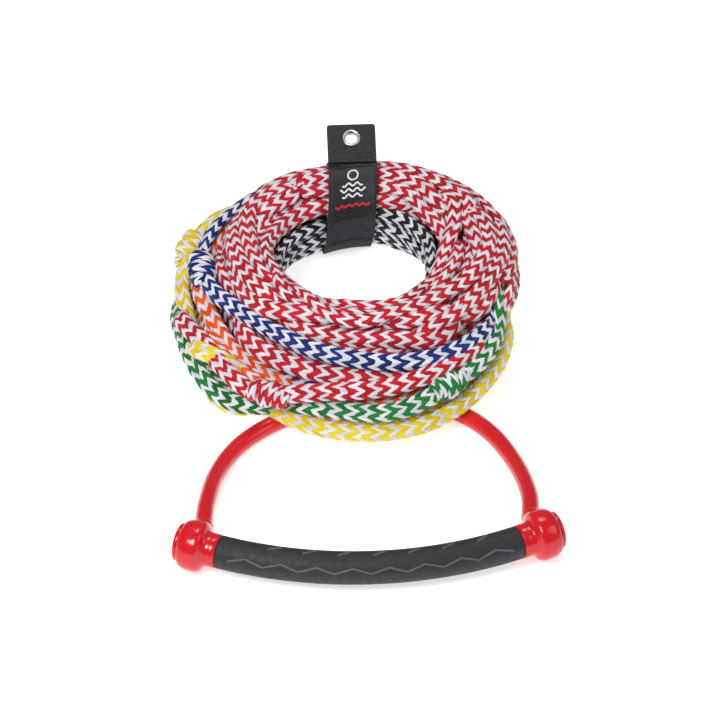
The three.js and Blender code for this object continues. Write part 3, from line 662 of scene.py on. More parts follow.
def floor_under(points):
    """How high a strand's middle has to be at each point: on the floor, or over the bridle's hoses."""
    lowest = np.full(len(points), ON_FLOOR)
    for line in LEGS.values():
        flat = line[::4, :2]
        gap = np.sqrt(((points[:, None, :2] - flat[None]) ** 2).sum(-1)).min(1)
        lowest = np.maximum(lowest, ON_FLOOR + 2 * HOSE_RADIUS * (1 - smooth(9, 34, gap)))
    return lowest


# ---- rope: the braid ----
STITCHES_ROUND = 8  # slanted stitches round the braid, four chevrons
COLUMNS_PER_STITCH = 4
ROWS_PER_BAND = 4
BAND_LENGTH = 6.6
CHEVRON_DEPTH = 3.7
STITCH_RISE = 1.0
STITCH_RAGGED = 0.85
COLOUR_WIDER = 0.1  # a coloured band is this share longer than half a period, the white one shorter
PAINTED_SHADE_SHARE = 0.35  # share of the stitches, picked at random, that get painted shade: a dimmed copy of their yarn


def braid_section():
    """Unit places round the flattened section, evenly spaced along it."""
    columns = STITCHES_ROUND * COLUMNS_PER_STITCH
    angle = np.linspace(0, 2 * np.pi, 721)
    x, y = np.cos(angle), np.sin(angle)
    step = np.hypot(np.diff(x * ROPE_HALF_WIDTH), np.diff(y * ROPE_HALF_THICKNESS))
    along = np.concatenate([[0], np.cumsum(step)])
    even = np.arange(columns) / columns * along[-1]
    return np.interp(even, along, x), np.interp(even, along, y)


def braid(name, line, normals, yarn, half_width=ROPE_HALF_WIDTH, half_thickness=ROPE_HALF_THICKNESS,
          twist=None, body="coil", replaces=()):
    """A braided rope along a fine line: chevron bands of colour and white, each stitch raised."""
    step = np.linalg.norm(np.diff(line, axis=0), axis=1)
    along = np.concatenate([[0], np.cumsum(step)])
    length = along[-1]
    tangent = unit(np.gradient(line, along, axis=0))
    normals = unit(normals - tangent * (normals * tangent).sum(-1, keepdims=True))
    side = np.cross(tangent, normals)
    if twist is not None:
        cos, sin = np.cos(twist)[:, None], np.sin(twist)[:, None]
        normals, side = normals * cos + side * sin, side * cos - normals * sin
    bands = max(2 * int(round(length / (2 * BAND_LENGTH))), 2)
    rows = bands * ROWS_PER_BAND + 1
    columns = STITCHES_ROUND * COLUMNS_PER_STITCH
    column = np.arange(columns)
    wave = np.abs((column / COLUMNS_PER_STITCH) % 2 - 1) * 2 - 1
    chance = np.random.default_rng(len(name) + rows)
    ragged = chance.normal(0, STITCH_RAGGED, (bands + 1, columns))
    # stitches picked at random get painted shade, a dimmed copy of their colour
    painted_shade = chance.random((bands, STITCHES_ROUND)) < PAINTED_SHADE_SHARE
    row_band = np.arange(rows) / ROWS_PER_BAND
    low_band = np.minimum(row_band.astype(int), bands - 1)
    ease = (row_band - low_band)[:, None]
    uneven = ragged[low_band] * (1 - ease) + ragged[low_band + 1] * ease
    wider = row_band + COLOUR_WIDER * (1 - np.abs(row_band % 2 - 1))
    s = (wider * length / bands)[:, None] + CHEVRON_DEPTH * wave[None, :] + uneven
    s = np.clip(s, 0, length)
    ux, uy = braid_section()
    in_band = np.arange(rows) % ROWS_PER_BAND
    in_stitch = column % COLUMNS_PER_STITCH
    row_rise = np.sin(np.pi * in_band / ROWS_PER_BAND)[:, None] ** 0.6
    column_rise = np.sin(np.pi * in_stitch / COLUMNS_PER_STITCH)[None, :] ** 0.6
    rise = STITCH_RISE * (row_rise * (0.45 + 0.55 * column_rise) - 0.6)
    widths = np.interp(s, along, np.broadcast_to(half_width, along.shape)) + rise
    thicks = np.interp(s, along, np.broadcast_to(half_thickness, along.shape)) + rise

    def at(values):
        return np.stack([np.interp(s, along, values[:, k]) for k in range(3)], axis=-1)

    points = (at(line) + at(side) * (ux[None, :] * widths)[..., None]
              + at(normals) * (uy[None, :] * thicks)[..., None])
    # slots: 0 colour, 1 white, 2 and 3 the same two with painted shade
    band = np.arange(bands)[:, None] % 2 + 2 * painted_shade
    slots = band.repeat(ROWS_PER_BAND, axis=0).repeat(COLUMNS_PER_STITCH, axis=1)
    mesh = grid_mesh(name, points, slots=slots)
    return new_object(name, mesh, YARNS[yarn], body, replaces), length


FINE_STEPS = 12  # of a strand's line between two stations


def strand_line(strand):
    """The fine middle line of a settled section in the frame, with its normals."""
    middle = ring_to_frame(strand.azimuth, strand.place[:, 0], strand.place[:, 1])
    ahead = ring_to_frame(strand.azimuth, strand.place[:, 0] + strand.normal[:, 0],
                          strand.place[:, 1] + strand.normal[:, 1])
    normal = ahead - middle
    for _ in range(3):
        normal[1:-1] = (normal[:-2] + 2 * normal[1:-1] + normal[2:]) / 4
    return catmull(middle, FINE_STEPS), catmull(unit(normal), FINE_STEPS)


def along_line(values):
    """Values given at a section's stations, for each point of its fine line."""
    stations = np.arange(len(values))
    return np.interp(np.arange(stations[-1] * FINE_STEPS + 1), stations * FINE_STEPS, values)


def make_ropes():
    """Every section's piece, fine line and strand, by the section's name."""
    strands = lay_sections()
    cross_over(strands["rope_main"])
    settle(list(strands.values()))
    made = {}
    for name, strand in strands.items():
        line, normal = strand_line(strand)
        breathe = slow_noise(len(line), 160, 3)
        strap = along_line(strap_share(strand.azimuth))
        loose = along_line(strand.loose)
        squeeze = 1 - 0.06 * strap
        width = ROPE_HALF_WIDTH * (1 + 0.035 * np.clip(breathe[:, 0], -2, 2) + 0.04 * loose) * squeeze
        thick = ROPE_HALF_THICKNESS * (1 - 0.03 * np.clip(breathe[:, 1], -2, 2)) * squeeze
        twist = np.radians(9 * np.clip(breathe[:, 2], -2, 2)) * (1 - 0.6 * strap)
        piece, _ = braid("braided_" + name, line, normal, strand.colour, width, thick, twist,
                         replaces=[name])
        made[name] = (piece, line, strand)
    return made


# ---- knots ----
def knot_line(middle, axis, up, wraps, radius, pitch=11.5, flat=0.82):
    """Wraps round a strand: a short helix whose ends tuck in under the first wrap."""
    side = np.cross(axis, up)
    turn = np.linspace(-0.12, 1.12, 120)
    angle = 2 * np.pi * wraps * turn
    tuck = 1 - 0.45 * (smooth(0.08, 0, turn) + smooth(0.92, 1.0, turn))
    reach = radius * tuck
    line = (middle + np.outer((turn - 0.5) * pitch * wraps, axis)
            + np.outer(reach * np.cos(angle), side) + np.outer(reach * flat * np.sin(angle), up))
    normal = np.outer(np.cos(angle), side) + np.outer(np.sin(angle), up)
    return line, normal


def make_knot(name, yarn, rope, azimuth):
    """A knot round the rope where it passes an azimuth."""
    _, line, strand = rope
    fine = along_line(strand.azimuth)
    at = int(np.argmin(np.abs(fine - azimuth)))
    at = min(max(at, 3), len(line) - 4)
    axis = unit(line[at + 3] - line[at - 3])
    up = unit(np.array([0, 0, 1.0]) - axis * axis[2])
    knot, normal = knot_line(line[at], axis, up, KNOT_WRAPS, KNOT_RADIUS)
    return braid("tied_" + name, knot, normal, yarn, 6.4, 3.7, replaces=[name])[0]


KNOT_WRAPS = 2.0
KNOT_RADIUS = 8.4
# Each knot's yarn, the section it is tied in and its azimuth.
KNOTS = {
    "knot_yellow": ("yellow", "rope_yellow", 164),
    "knot_blue": ("blue", "rope_blue", 180),
    "knot_red": ("red", "rope_red_short", 238),
    "knot_green": ("green", "rope_green", 292),
}
ropes = make_ropes()
knots = {name: make_knot(name, yarn, ropes[rope], azimuth)
         for name, (yarn, rope, azimuth) in KNOTS.items()}

for name, (piece, line, _) in ropes.items():
    path = line[::8]
    path = np.vstack([path, line[-1:]]) if (len(line) - 1) % 8 else path


# ---- shapes: rings round a line, turned profiles, threads ----
def rings(line, radius, around=48, up=(0, 0, 1), flat=1.0):
    """Rings of points round a line; the radius may differ from ring to ring and round each."""
    tangent = unit(np.gradient(line, axis=0))
    side = unit(np.cross(tangent, up))
    over = np.cross(side, tangent)
    angle = np.linspace(0, 2 * np.pi, around, endpoint=False)
    radius = np.broadcast_to(np.asarray(radius, dtype=float).reshape(-1, 1)
                             if np.ndim(radius) == 1 else radius, (len(line), around))
    return (line[:, None] + side[:, None] * (radius * np.cos(angle))[..., None]
            + over[:, None] * (flat * radius * np.sin(angle))[..., None])


def sleeve_mesh(name, line, outer, bore, around=48):
    """A tube with a wall: outside along the line, then back through the bore."""
    bore_line = line[::6] if (len(line) - 1) % 6 == 0 else np.vstack([line[::6], line[-1:]])
    return grid_mesh(name, np.vstack([rings(line, outer, around), rings(bore_line, bore, around)[::-1]]),
                     ring=True)


def turned_mesh(name, profile, origin, axis, around=96, ring=True):
    """A profile of (radius, distance) turned about an axis."""
    axis = unit(np.array(axis, dtype=float))
    up = np.array((1.0, 0, 0) if abs(axis[2]) > 0.3 else (0, 0, 1.0))
    side = unit(np.cross(axis, up))
    over = np.cross(side, axis)
    angle = np.linspace(0, 2 * np.pi, around, endpoint=False)
    circle = np.outer(np.cos(angle), side) + np.outer(np.sin(angle), over)
    profile = np.array(profile, dtype=float)
    points = origin + profile[:, 1, None, None] * axis + profile[:, 0, None, None] * circle
    return grid_mesh(name, points, ring=ring)


def joined(name, meshes):
    """One mesh from several."""
    build = bmesh.new()
    for mesh in meshes:
        build.from_mesh(mesh)
        bpy.data.meshes.remove(mesh)
    whole = bpy.data.meshes.new(name)
    build.to_mesh(whole)
    build.free()
    return whole


# ---- handle ----
RED_PLASTIC = surface("red_plastic", 0xD0141F, (0.12, 0.22, 260, 4.0), (0.02, 90, 2.0))
RED_HOSE = surface("red_hose", 0xD0141F, (0.13, 0.26, 180, 4.0), (0.05, 45, 2.0))
RUBBER = surface("grip_rubber", 0x242227, (0.52, 0.72, 220, 5.0), (0.05, 1400, 2.0))
# a lighter rubber for the grip's raised lines: painted highlight, where they catch the light
RIDGE_HIGHLIGHT_RUBBER = surface("ridge_highlight_rubber", 0x59575E, (0.42, 0.6, 220, 5.0), (0.05, 1400, 2.0))
PLUG_RUBBER = surface("plug_rubber", 0x242327, (0.5, 0.7, 300, 4.0))
ALUMINIUM = surface("drawn_aluminium", 0xC9CACD, (0.24, 0.42, 90, 3.0, (1, 12, 12)), metallic=1.0)
FOAM = surface("float_foam", 0xE7E4DC, bumps=(0.3, 900, 3.0))

GRIP_RADIUS = 13.8
BAR_RADIUS = 10.8
ZIGZAG_PERIOD = 28.0
ZIGZAG_SWING = 2.31
ZIGZAG_ROWS = (31, 211)  # degrees round the grip from its front, over the top
ZIGZAG_TWIST = 0.005  # how far round the grip the zigzag climbs in one mm
MARK_ROWS = (98, 278)
RELIEF = 0.9
HIGHLIGHT_HEIGHT = 0.45  # the relief's lines get a lighter rubber, a painted highlight, over this share of their height


def relief_lines(length):
    """The moulded lines of the grip as (start, end) in mm along and round it."""
    lines = []
    half = ZIGZAG_PERIOD / 2
    steps = int(length / 2 // half)
    for degrees in ZIGZAG_ROWS:
        level = GRIP_RADIUS * math.radians(degrees)
        for k in range(-steps, steps):
            swing = ZIGZAG_SWING if k % 2 else -ZIGZAG_SWING
            start, end = k * half, (k + 1) * half
            lines.append(((start, level + ZIGZAG_TWIST * start + swing),
                          (end, level + ZIGZAG_TWIST * end - swing)))
    for degrees in MARK_ROWS:
        level = GRIP_RADIUS * math.radians(degrees)
        for k in range(-steps // 2 + 1, steps // 2):
            middle = (k + 0.25) * ZIGZAG_PERIOD
            lines.append(((middle - 5, level - 2.2), (middle + 5, level + 2.2)))
    return lines


def relief_height(along, round_it, lines):
    """1 on a line, easing to 0 beside it."""
    nearest = np.full(along.shape, 99.0)
    turn = 2 * np.pi * GRIP_RADIUS
    for (x0, y0), (x1, y1) in lines:
        for shift in (-turn, 0, turn):
            way = np.array([x1 - x0, y1 - y0])
            t = ((along - x0) * way[0] + (round_it - y0 - shift) * way[1]) / (way ** 2).sum()
            t = np.clip(t, 0, 1)
            gap = np.hypot(along - x0 - t * way[0], round_it - y0 - shift - t * way[1])
            nearest = np.minimum(nearest, gap)
    return 1 - smooth(0.25, 0.8, nearest)


def make_grip():
    rows, around = 411, 144
    angle = np.linspace(-GRIP_END_ANGLE, GRIP_END_ANGLE, rows)
    out = np.stack([np.sin(angle), -np.cos(angle), 0 * angle], axis=-1)
    line = np.array([0, GRIP_BEND_CENTRE, HANDLE_Z]) + GRIP_BEND * out
    along = np.broadcast_to((GRIP_BEND * angle)[:, None], (rows, around))
    # rings() starts at the line's right side, away from the bend's centre, and goes over the top
    round_it = np.broadcast_to(GRIP_RADIUS * np.linspace(0, 2 * np.pi, around, endpoint=False)[None],
                               (rows, around))
    from_end = np.minimum(np.arange(rows), np.arange(rows)[::-1])[:, None] * (along[1, 0] - along[0, 0])
    length = 2 * GRIP_BEND * GRIP_END_ANGLE
    relief = relief_height(along, round_it, relief_lines(length - 16))
    skin = GRIP_RADIUS - 0.35 + RELIEF * relief - 0.5 * (1 - smooth(0, 1.2, from_end))
    mesh = sleeve_mesh("moulded_grip", line, skin, BAR_RADIUS + 0.3, around)
    # faces high on the relief lines take the lighter rubber: painted highlight
    ridge_slot = np.zeros(len(mesh.polygons), dtype=np.int32)
    raised = (relief + np.roll(relief, -1, axis=1))[:-1] / 2 > HIGHLIGHT_HEIGHT
    ridge_slot[:raised.size] = raised.ravel()
    mesh.polygons.foreach_set("material_index", ridge_slot)
    new_object("moulded_grip", mesh, [RUBBER.material, RIDGE_HIGHLIGHT_RUBBER.material], "handle",
               ["grip_sleeve"])


CAP_LIP_RADIUS = 16.4
CAP_BARREL_END = 21.5
CAP_LENGTH = 31.0
CAP_BARREL = [(13.8, 5.0), (13.8, 7.2), (14.2, 9.2), (15.6, 11.0), (17.8, 12.3), (19.6, 13.8),
              (20.5, 16.0), (CAP_RADIUS, 18.5), (CAP_RADIUS, CAP_BARREL_END)]
CHAMBER_RADIUS = 12.9
BOSS_RADIUS = 8.8
BOSS_FILLET = 2.6


def cap_outline():
    """The cap's outside from its neck to its lip, as (radius, distance)."""
    turn = np.linspace(0, np.pi / 2, 17)[1:]
    shoulder = np.stack([CAP_LIP_RADIUS + (CAP_RADIUS - CAP_LIP_RADIUS) * np.cos(turn),
                         CAP_BARREL_END + (CAP_LENGTH - CAP_BARREL_END) * np.sin(turn)], axis=-1)
    return np.vstack([catmull(np.array(CAP_BARREL), 6), shoulder])


def make_cap(side):
    _, start, outward, boss, boss_way = cap_place(side)
    outline = cap_outline()
    ring = [(BAR_RADIUS + 0.4, 7.0), (BAR_RADIUS + 0.4, 0.4), (BAR_RADIUS + 0.8, 0.0), (13.4, 0.0),
            (13.75, 0.35), *outline, (15.6, CAP_LENGTH), (13.3, CAP_LENGTH), (CHAMBER_RADIUS, 30.6),
            (CHAMBER_RADIUS, 7.0)]
    body = turned_mesh("cap_body", ring, start, outward)
    across = unit(np.cross(boss_way, (0, 0, 1)))
    angle = np.linspace(0, 2 * np.pi, 72, endpoint=False)
    circle = np.outer(np.cos(angle), across) + np.outer(np.sin(angle), (0, 0, 1.0))

    def skin_reach(radius):
        """How far along the boss's way the cap's outside is, all round the boss."""
        low, high = np.zeros(len(angle)), np.full(len(angle), 40.0)
        for _ in range(30):
            middle = (low + high) / 2
            point = boss + circle * radius + middle[:, None] * boss_way - start
            distance = point @ outward
            off = np.linalg.norm(point - distance[:, None] * outward, axis=1)
            inside = off < np.interp(distance, outline[:, 1], outline[:, 0])
            low, high = np.where(inside, middle, low), np.where(inside, high, middle)
        return low

    def boss_ring(radius, reach):
        return boss + circle * radius + np.broadcast_to(reach, len(angle))[:, None] * boss_way

    rows = [boss_ring(BOSS_RADIUS + BOSS_FILLET, skin_reach(BOSS_RADIUS + BOSS_FILLET) - 1.0)]
    for turn in np.linspace(0, np.pi / 2, 9):
        radius = BOSS_RADIUS + BOSS_FILLET * (1 - math.sin(turn))
        rows.append(boss_ring(radius, skin_reach(radius) + BOSS_FILLET * (1 - math.cos(turn))))
    for radius, down in [(BOSS_RADIUS - 0.7, 1.0), (BOSS_RADIUS - 0.9, 0.3), (BOSS_RADIUS - 1.15, 0),
                         (HOSE_RADIUS + 0.5, 0), (HOSE_RADIUS + 0.3, 0.3),
                         (HOSE_RADIUS + 0.3, SOCKET_DEPTH)]:
        rows.append(boss_ring(radius, BOSS_LENGTH - down))
    mesh = joined("moulded_cap", [body, grid_mesh("cap_boss", np.array(rows))])
    new_object(f"moulded_cap_{side}", mesh, [RED_PLASTIC.material], "handle",
               [f"{side}_end_cap"])
    disc = [(0.05, 28.0), (11.9, 28.0), (12.3, 28.4), (12.3, 31.3), (15.2, 31.3), (15.6, 31.7),
            (15.6, 33.3), (15.2, 34.3), (14.3, 35.0), (13.0, 35.5), (11.6, 35.75), (11.2, 35.6),
            (10.9, 35.2), (10.5, 35.2), (10.2, 35.6), (9.8, 35.8), (0.05, 35.8)]
    mesh = turned_mesh("pressed_disc", disc, start, outward, ring=False)
    new_object(f"pressed_disc_{side}", mesh, [RED_PLASTIC.material], "handle",
               [f"{side}_end_disc"])


# ---- bridle ----
CORD_RADIUS = 4.6


def bent_leg(piece):
    """Bakes the piece's place into its mesh."""
    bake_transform(piece)


def make_leg(side):
    sign, start, outward, boss, boss_way = cap_place(side)
    line = LEGS[side]
    mesh = sleeve_mesh("hose_" + side, line, HOSE_RADIUS, HOSE_RADIUS - 1.8, 40)
    hose = new_object("hose_" + side, mesh, [RED_HOSE.material], None,
                      [f"{side}_bridle_hose", f"{side}_hose_rear"])
    bent_leg(hose)
    into_splice = np.array([APEX[0] + sign * 9.5, APEX[1], HOSE_RADIUS])
    places = [start + outward * 14.5, boss + boss_way * 7, *line[6:-12:12], line[-1], into_splice]
    cord = catmull(np.array(places), 14)
    normals = np.tile((0, 0, 1.0), (len(cord), 1))
    piece, length = braid("braided_leg_" + side, cord, normals, "red", CORD_RADIUS, CORD_RADIUS, None,
                          None, [f"{side}_bridle_rope", f"{side}_rope_rear"])
    bent_leg(piece)
    knot, normal = knot_line(start + outward * STOPPER_KNOT_FROM_GRIP, outward,
                             np.array([0, 0, 1.0]), 1.2, 4.2, 4.2, 1.0)
    stopper, _ = braid("tied_stopper_" + side, knot, normal, "red", 4.2, 3.6, None, "handle",
                       [f"{side}_stopper_knot"])


def make_splice():
    """Both legs and the long rope, lashed together with thread."""
    low, high = (np.array(corner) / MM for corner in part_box("bridle_splice"))
    middle, half = (low + high) / 2, (high - low) / 2
    x = np.arange(-half[0], half[0] + 0.01, 0.3)
    line = middle + np.stack([x, 0 * x, 0 * x], axis=-1)
    swell = 1 - 0.35 * smooth(0.72, 1.0, np.abs(x) / half[0])
    radius = half[1] * swell - 0.3 + 0.3 * np.cos(2 * np.pi * x / 1.5)
    mesh = grid_mesh("lashed_splice", rings(line, radius, 40, flat=half[2] / half[1]))
    new_object("lashed_splice", mesh, [YARNS["red"][0]], "bridle", ["bridle_splice"])


make_grip()
for hand in ("left", "right"):
    make_cap(hand)
    make_leg(hand)
make_splice()
for node, look in {"bar_tube": ALUMINIUM, "float_core": FOAM, "left_bar_plug": PLUG_RUBBER,
                   "right_bar_plug": PLUG_RUBBER}.items():
    NODES[node].data.materials.clear()
    NODES[node].data.materials.append(look.material)


# ---- rope keeper ----
KEEPER_X = -11.0
KEEPER_LEAN = 6.0  # the strap's underside sits this far to the left of its top
KEEPER_HALF_WIDTH = 28.5  # the strap pulls the bundle's inner side in
KEEPER_RADIUS = BUNDLE_RADIUS + BUNDLE_HALF_WIDTH - KEEPER_HALF_WIDTH
WEBBING_WIDTH = 40.0
RIB_PITCH = 1.7
RIB_DEPTH = 0.3
STRAP, LOOP_PATCH, HOOK_PATCH = (0.5, 2.5), (2.8, 3.7), (4.0, 4.9)
FLAP, LABEL = (5.2, 7.0), (7.3, 7.9)
PATCH_DEGREES = (144, 190)  # round the bundle from its outer side over the top
FLAP_DEGREES = (97, 195)
LABEL_DEGREES = (103, 163)
TAB_LENGTH = 34.0
TAB_THICKNESS = 3.6
TAB_RISE = math.radians(30)
TAB_ROOT = (BUNDLE_RADIUS + 2, 2 * BUNDLE_HALF_HEIGHT + 3.7)
EYELET_AT = TAB_LENGTH - 13
EYELET_HOLE = 5.0
STITCH = 2.6

WEBBING = surface("black_webbing", 0x28282D, (0.5, 0.78, 300, 3.0), (0.18, 1500, 3.0))
WEBBING.vary(WEBBING.noise(420, 4.0, (1, 3, 3)), 0x1D1D22, 0x333339)
LABEL_CLOTH = surface("label_cloth", 0x1A1A1F, (0.4, 0.62, 700, 3.0), (0.08, 1600, 2.0))
HOOK_AND_LOOP = surface("hook_and_loop", 0x1C1C20, (0.75, 0.95, 900, 3.0), (0.5, 1300, 2.0))
THREAD, WHITE_THREAD, RED_THREAD = (
    surface(name, colour, (0.5, 0.7, 800, 2.0))
    for name, colour in (("dark_thread", 0x3A3A41), ("white_thread", 0xEDEDF1), ("red_thread", 0xC5202C)))
NICKEL = surface("nickel", 0xB9B7B3, (0.24, 0.4, 400, 4.0), metallic=1.0)


def on_keeper(across, angle, grow):
    """A place on the keeper: across its width, round the bundle, and out from the bundle."""
    x = KEEPER_X + across - KEEPER_LEAN * (1 - np.sin(angle)) / 2
    r = KEEPER_RADIUS + (KEEPER_HALF_WIDTH + grow) * np.cos(angle)
    z = BUNDLE_HALF_HEIGHT + (BUNDLE_HALF_HEIGHT + grow) * np.sin(angle)
    y = np.sqrt(r ** 2 - x ** 2)
    return ring_to_frame(np.degrees(np.arctan2(y, x)), np.hypot(x, y), z)


def even_angles(degrees, grow, step):
    """Angles round the bundle at even steps along the band."""
    fine = np.radians(np.linspace(*degrees, 1500))
    speed = np.hypot((KEEPER_HALF_WIDTH + grow) * np.sin(fine), (BUNDLE_HALF_HEIGHT + grow) * np.cos(fine))
    along = np.concatenate([[0], np.cumsum((speed[1:] + speed[:-1]) / 2 * np.diff(fine))])
    count = max(int(round(along[-1] / step)), 4)
    place = np.linspace(0, along[-1], count + 1)
    return place, np.interp(place, along, fine)


def webbing_section(width, thickness, layers=1):
    """(across, share of the thickness, how ribbed) round the section, each layer's edge rounded."""
    half = width / 2
    edge = thickness / layers / 2
    top = [(u, 1.0, 1.0) for u in np.linspace(-half + edge, half - edge, 15)]
    turn = np.linspace(0.5 * np.pi, -0.5 * np.pi, 6)[1:-1]
    right = []
    for layer in range(layers):
        middle = 1 - (layer + 0.5) / layers
        right += [(half - edge + edge * math.cos(a), middle + math.sin(a) / 2 / layers, 0.4) for a in turn]
    bottom = [(-u, 0.0, 1.0) for u, _, _ in top]
    left = [(-u, 1 - share, ribbed) for u, share, ribbed in right]
    return np.array(top + right + bottom + left).T


def band(name, layer, degrees, width, look, body, slot, node, ribs=RIB_DEPTH, fuzz=0.0):
    """A stretch of webbing round the bundle."""
    whole = degrees[1] - degrees[0] == 360
    along, angle = even_angles(degrees, layer[1], RIB_PITCH / 5)
    across, share, ribbed = webbing_section(width, layer[1] - layer[0])
    rib = ribs * np.cos(2 * np.pi * along / RIB_PITCH)[:, None] * ribbed * np.where(share > 0.5, 1, -1)
    if whole:
        angle, rib = angle[:-1], rib[:-1]
    grow = layer[0] + (layer[1] - layer[0]) * share[None] + rib - ribs * np.where(share > 0.5, 1, -1)
    grow = grow + fuzz * np.random.default_rng(3).normal(0, 1, grow.shape)
    points = on_keeper(across[None], angle[:, None], grow)
    return new_object(name, grid_mesh(name, points, ring=whole), [look.material], body, [node])


def on_tab(along, across, height):
    """A place on the keeper's tab: along from its root, across, and over its lower face."""
    r = TAB_ROOT[0] + along * math.cos(TAB_RISE) - height * math.sin(TAB_RISE)
    z = TAB_ROOT[1] + along * math.sin(TAB_RISE) + height * math.cos(TAB_RISE)
    x = KEEPER_X + across + 0 * r
    return ring_to_frame(np.degrees(np.arctan2(r, x)), np.hypot(x, r), z)


def make_tab():
    along = np.arange(0, TAB_LENGTH + 0.01, RIB_PITCH / 5)
    across, share, ribbed = webbing_section(WEBBING_WIDTH, TAB_THICKNESS, layers=2)
    corner = 3.0
    fold_length = TAB_THICKNESS / 2
    past = np.clip(along - (TAB_LENGTH - corner), 0, corner)
    narrower = corner - np.sqrt(corner ** 2 - past ** 2)
    fold = np.clip(along - (TAB_LENGTH - fold_length), 0, fold_length - 0.01) / fold_length
    thick = TAB_THICKNESS * np.sqrt(1 - fold ** 2)
    rib = RIB_DEPTH * np.cos(2 * np.pi * along / RIB_PITCH)[:, None] * ribbed
    wide = across[None] * (1 - narrower / (WEBBING_WIDTH / 2))[:, None]
    height = TAB_THICKNESS / 2 + (share - 0.5)[None] * (thick[:, None] - 2 * RIB_DEPTH + 2 * rib)
    mesh = grid_mesh("tab", on_tab(along[:, None], wide, height))
    tab = new_object("sewn_tab", mesh, [WEBBING.material], "keeper_tab", ["keeper_tab"])
    # the eyelet's hole
    way = on_tab(EYELET_AT, 0, 1) - on_tab(EYELET_AT, 0, 0)
    cutter_mesh = turned_mesh("cutter", [(0.05, -3), (EYELET_HOLE + 1.1, -3), (EYELET_HOLE + 1.1, 7),
                                         (0.05, 7)], on_tab(EYELET_AT, 0, 0), way, 48, ring=False)
    cutter = bpy.data.objects.new("cutter", cutter_mesh)
    bpy.context.scene.collection.objects.link(cutter)
    cut = tab.modifiers.new("hole", "BOOLEAN")
    cut.operation = "DIFFERENCE"
    cut.object = cutter
    cut.solver = "EXACT"
    view = bpy.context.evaluated_depsgraph_get()
    holed = bpy.data.meshes.new_from_object(tab.evaluated_get(view))
    tab.modifiers.clear()
    tab.data = holed
    bpy.data.objects.remove(cutter)


def make_eyelet():
    origin = on_tab(EYELET_AT, 0, 0)
    way = on_tab(EYELET_AT, 0, 1) - origin
    top = TAB_THICKNESS + 0.3
    front = [(5.7, -1.2), (5.7, top), (7.3, top), (7.5, top + 0.2), (7.4, top + 0.5), (7.0, top + 0.8),
             (6.3, top + 0.9), (5.6, top + 0.75), (5.15, top + 0.35), (5.0, top - 0.2), (5.0, -1.0),
             (5.2, -1.2)]
    back = [(6.0, -1.1), (6.1, -1.2), (7.2, -1.2), (7.5, -0.9), (7.5, -0.5), (7.3, -0.3), (6.1, -0.3),
            (6.0, -0.4)]
    for name, profile, node in (("eyelet", front, "grommet_front"), ("washer", back, "grommet_back")):
        new_object(name, turned_mesh(name, profile, origin, way, 64), [NICKEL.material], "keeper_tab",
                   [node])


def thread_mesh(name, place, path, width, height, stitch=0.0):
    """A thread on a surface: place(u, v, up) gives its points, stitch the length of one stitch."""
    path = catmull(np.array(path, dtype=float), 10)
    step = np.hypot(*np.diff(path, axis=0).T)
    along = np.concatenate([[0], np.cumsum(step)])
    count = max(int(along[-1] / 0.3), 6)
    even = np.linspace(0, along[-1], count)
    u, v = (np.interp(even, along, path[:, k]) for k in range(2))
    du, dv = np.gradient(u), np.gradient(v)
    size = np.hypot(du, dv)
    du, dv = du / size, dv / size
    sink = height * 1.3 * (1 - np.abs(np.sin(np.pi * even / stitch)) ** 0.5) if stitch else 0 * even
    turn = np.linspace(0, 2 * np.pi, 8, endpoint=False)
    side = np.cos(turn)[None] * width / 2
    up = height / 2 + np.sin(turn)[None] * height / 2 - sink[:, None]
    return grid_mesh(name, place(u[:, None] - dv[:, None] * side, v[:, None] + du[:, None] * side, up))


def on_label(across, down, up):
    """A place on the label: across, down from its top edge, and over its face."""
    along, angle = even_angles(LABEL_DEGREES, LABEL[1], 0.5)
    return on_keeper(across, np.interp(down, along, angle), LABEL[1] - 0.1 + up)


def wave(down, half_width, height, length):
    x = np.arange(-half_width, half_width + 0.01, length / 8)
    return [(u, down + height * math.cos(2 * math.pi * u / length)) for u in x]


def make_label():
    """A plain motif of a sun over waves, embroidered, and a stitched border."""
    sun = [(4.1 * math.sin(a), 8 - 4.1 * math.cos(a)) for a in np.linspace(0, 2 * np.pi, 17)]
    white = [thread_mesh("sun", on_label, sun, 1.4, 0.5)]
    for down, half_width in ((16, 8.5), (20.5, 10.5), (25, 8.5)):
        white.append(thread_mesh("wave", on_label, wave(down, half_width, 1.2, 7.0), 1.5, 0.5))
    new_object("motif_white", joined("motif_white", white), [WHITE_THREAD.material], "keeper_flap")
    red = [thread_mesh("wave", on_label, wave(33, 14.5, 0.8, 5.8), 2.0, 0.5)]
    new_object("motif_red", joined("motif_red", red), [RED_THREAD.material], "keeper_flap")
    low = even_angles(LABEL_DEGREES, LABEL[1], 0.5)[0][-1] - 1.8
    sewn_box("label_seam", on_label, 17.3, 1.8, low, 0.5, 0.4, "keeper_flap")


def sewn_box(name, place, half, top, bottom, width, height, body, replaces=()):
    """A box of stitches, given by its half width, top and bottom."""
    middle = (top + bottom) / 2
    rows = [[(-half, v), (0, v), (half, v)] for v in (top, bottom)]
    rows += [[(u, top), (u, middle), (u, bottom)] for u in (-half, half)]
    seams = [thread_mesh("seam", place, row, width, height, STITCH) for row in rows]
    new_object(name, joined(name, seams), [THREAD.material], body, replaces)


def over_tab(across, along, up):
    return on_tab(along, across, TAB_THICKNESS + up)


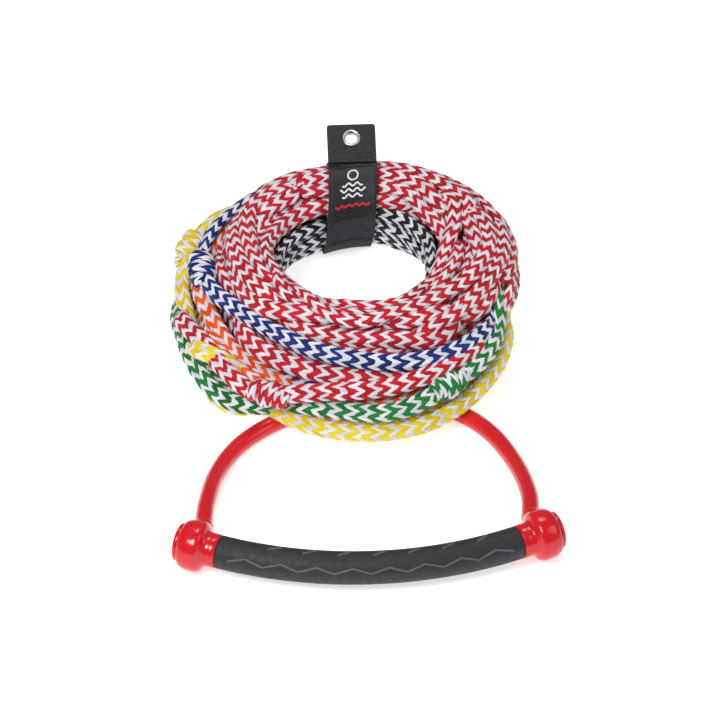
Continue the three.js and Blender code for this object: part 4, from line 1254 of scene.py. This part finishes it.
band("woven_strap", STRAP, (0, 360), WEBBING_WIDTH, WEBBING, "coil", "webbing", "keeper_strap")
band("loop_pile", LOOP_PATCH, PATCH_DEGREES, 35, HOOK_AND_LOOP, "coil", "hook_and_loop", "loop_patch",
     0.0, 0.08)
band("hook_tape", HOOK_PATCH, PATCH_DEGREES, 35, HOOK_AND_LOOP, "keeper_flap", "hook_and_loop",
     "hook_patch", 0.0, 0.08)
band("woven_flap", FLAP, FLAP_DEGREES, WEBBING_WIDTH, WEBBING, "keeper_flap", "webbing", "keeper_flap")
band("woven_label", LABEL, LABEL_DEGREES, 38, LABEL_CLOTH, "keeper_flap", "label", "label_panel", 0.04)
make_tab()
make_eyelet()
make_label()
sewn_box("tab_seam", over_tab, WEBBING_WIDTH / 2 - 3.4, 3.4, 8.6, 0.7, 0.6, "keeper_tab",
         ["tab_stitching"])


# ---- floor and light ----
LIT_PLACE = (0, 0.05, 0)


def make_stage():
    mesh = bpy.data.meshes.new("floor")
    size = 6.0
    mesh.from_pydata([(-size, -size, 0), (size, -size, 0), (size, size, 0), (-size, size, 0)], [],
                     [(0, 1, 2, 3)])
    floor = bpy.data.objects.new("floor", mesh)
    bpy.context.scene.collection.objects.link(floor)
    look = Look("floor", 0xF7F7F8, 0.9)
    look.shader.inputs["Emission Color"].default_value = (1, 1, 1, 1)
    look.shader.inputs["Emission Strength"].default_value = 0.6
    mesh.materials.append(look.material)


def area_light(name, place, size, power):
    data = bpy.data.lights.new(name, "AREA")
    data.shape = "DISK"
    data.size = size
    data.energy = power
    light = bpy.data.objects.new(name, data)
    light.location = place
    light.rotation_euler = (Vector(LIT_PLACE) - Vector(place)).to_track_quat("-Z", "Y").to_euler()
    bpy.context.scene.collection.objects.link(light)


def make_lights():
    bpy.context.scene.view_settings.view_transform = "Standard"
    world = bpy.data.worlds.new("studio")
    bpy.context.scene.world = world
    world.use_nodes = True
    background = world.node_tree.nodes["Background"]
    background.inputs["Color"].default_value = (1, 1, 1, 1)
    background.inputs["Strength"].default_value = 0.22
    area_light("key", (-0.6, -0.9, 1.3), 0.6, 17)
    area_light("fill", (1.1, -0.5, 0.9), 0.8, 3)
    area_light("top", (0.1, 0.5, 1.5), 0.7, 6)


make_stage()
make_lights()
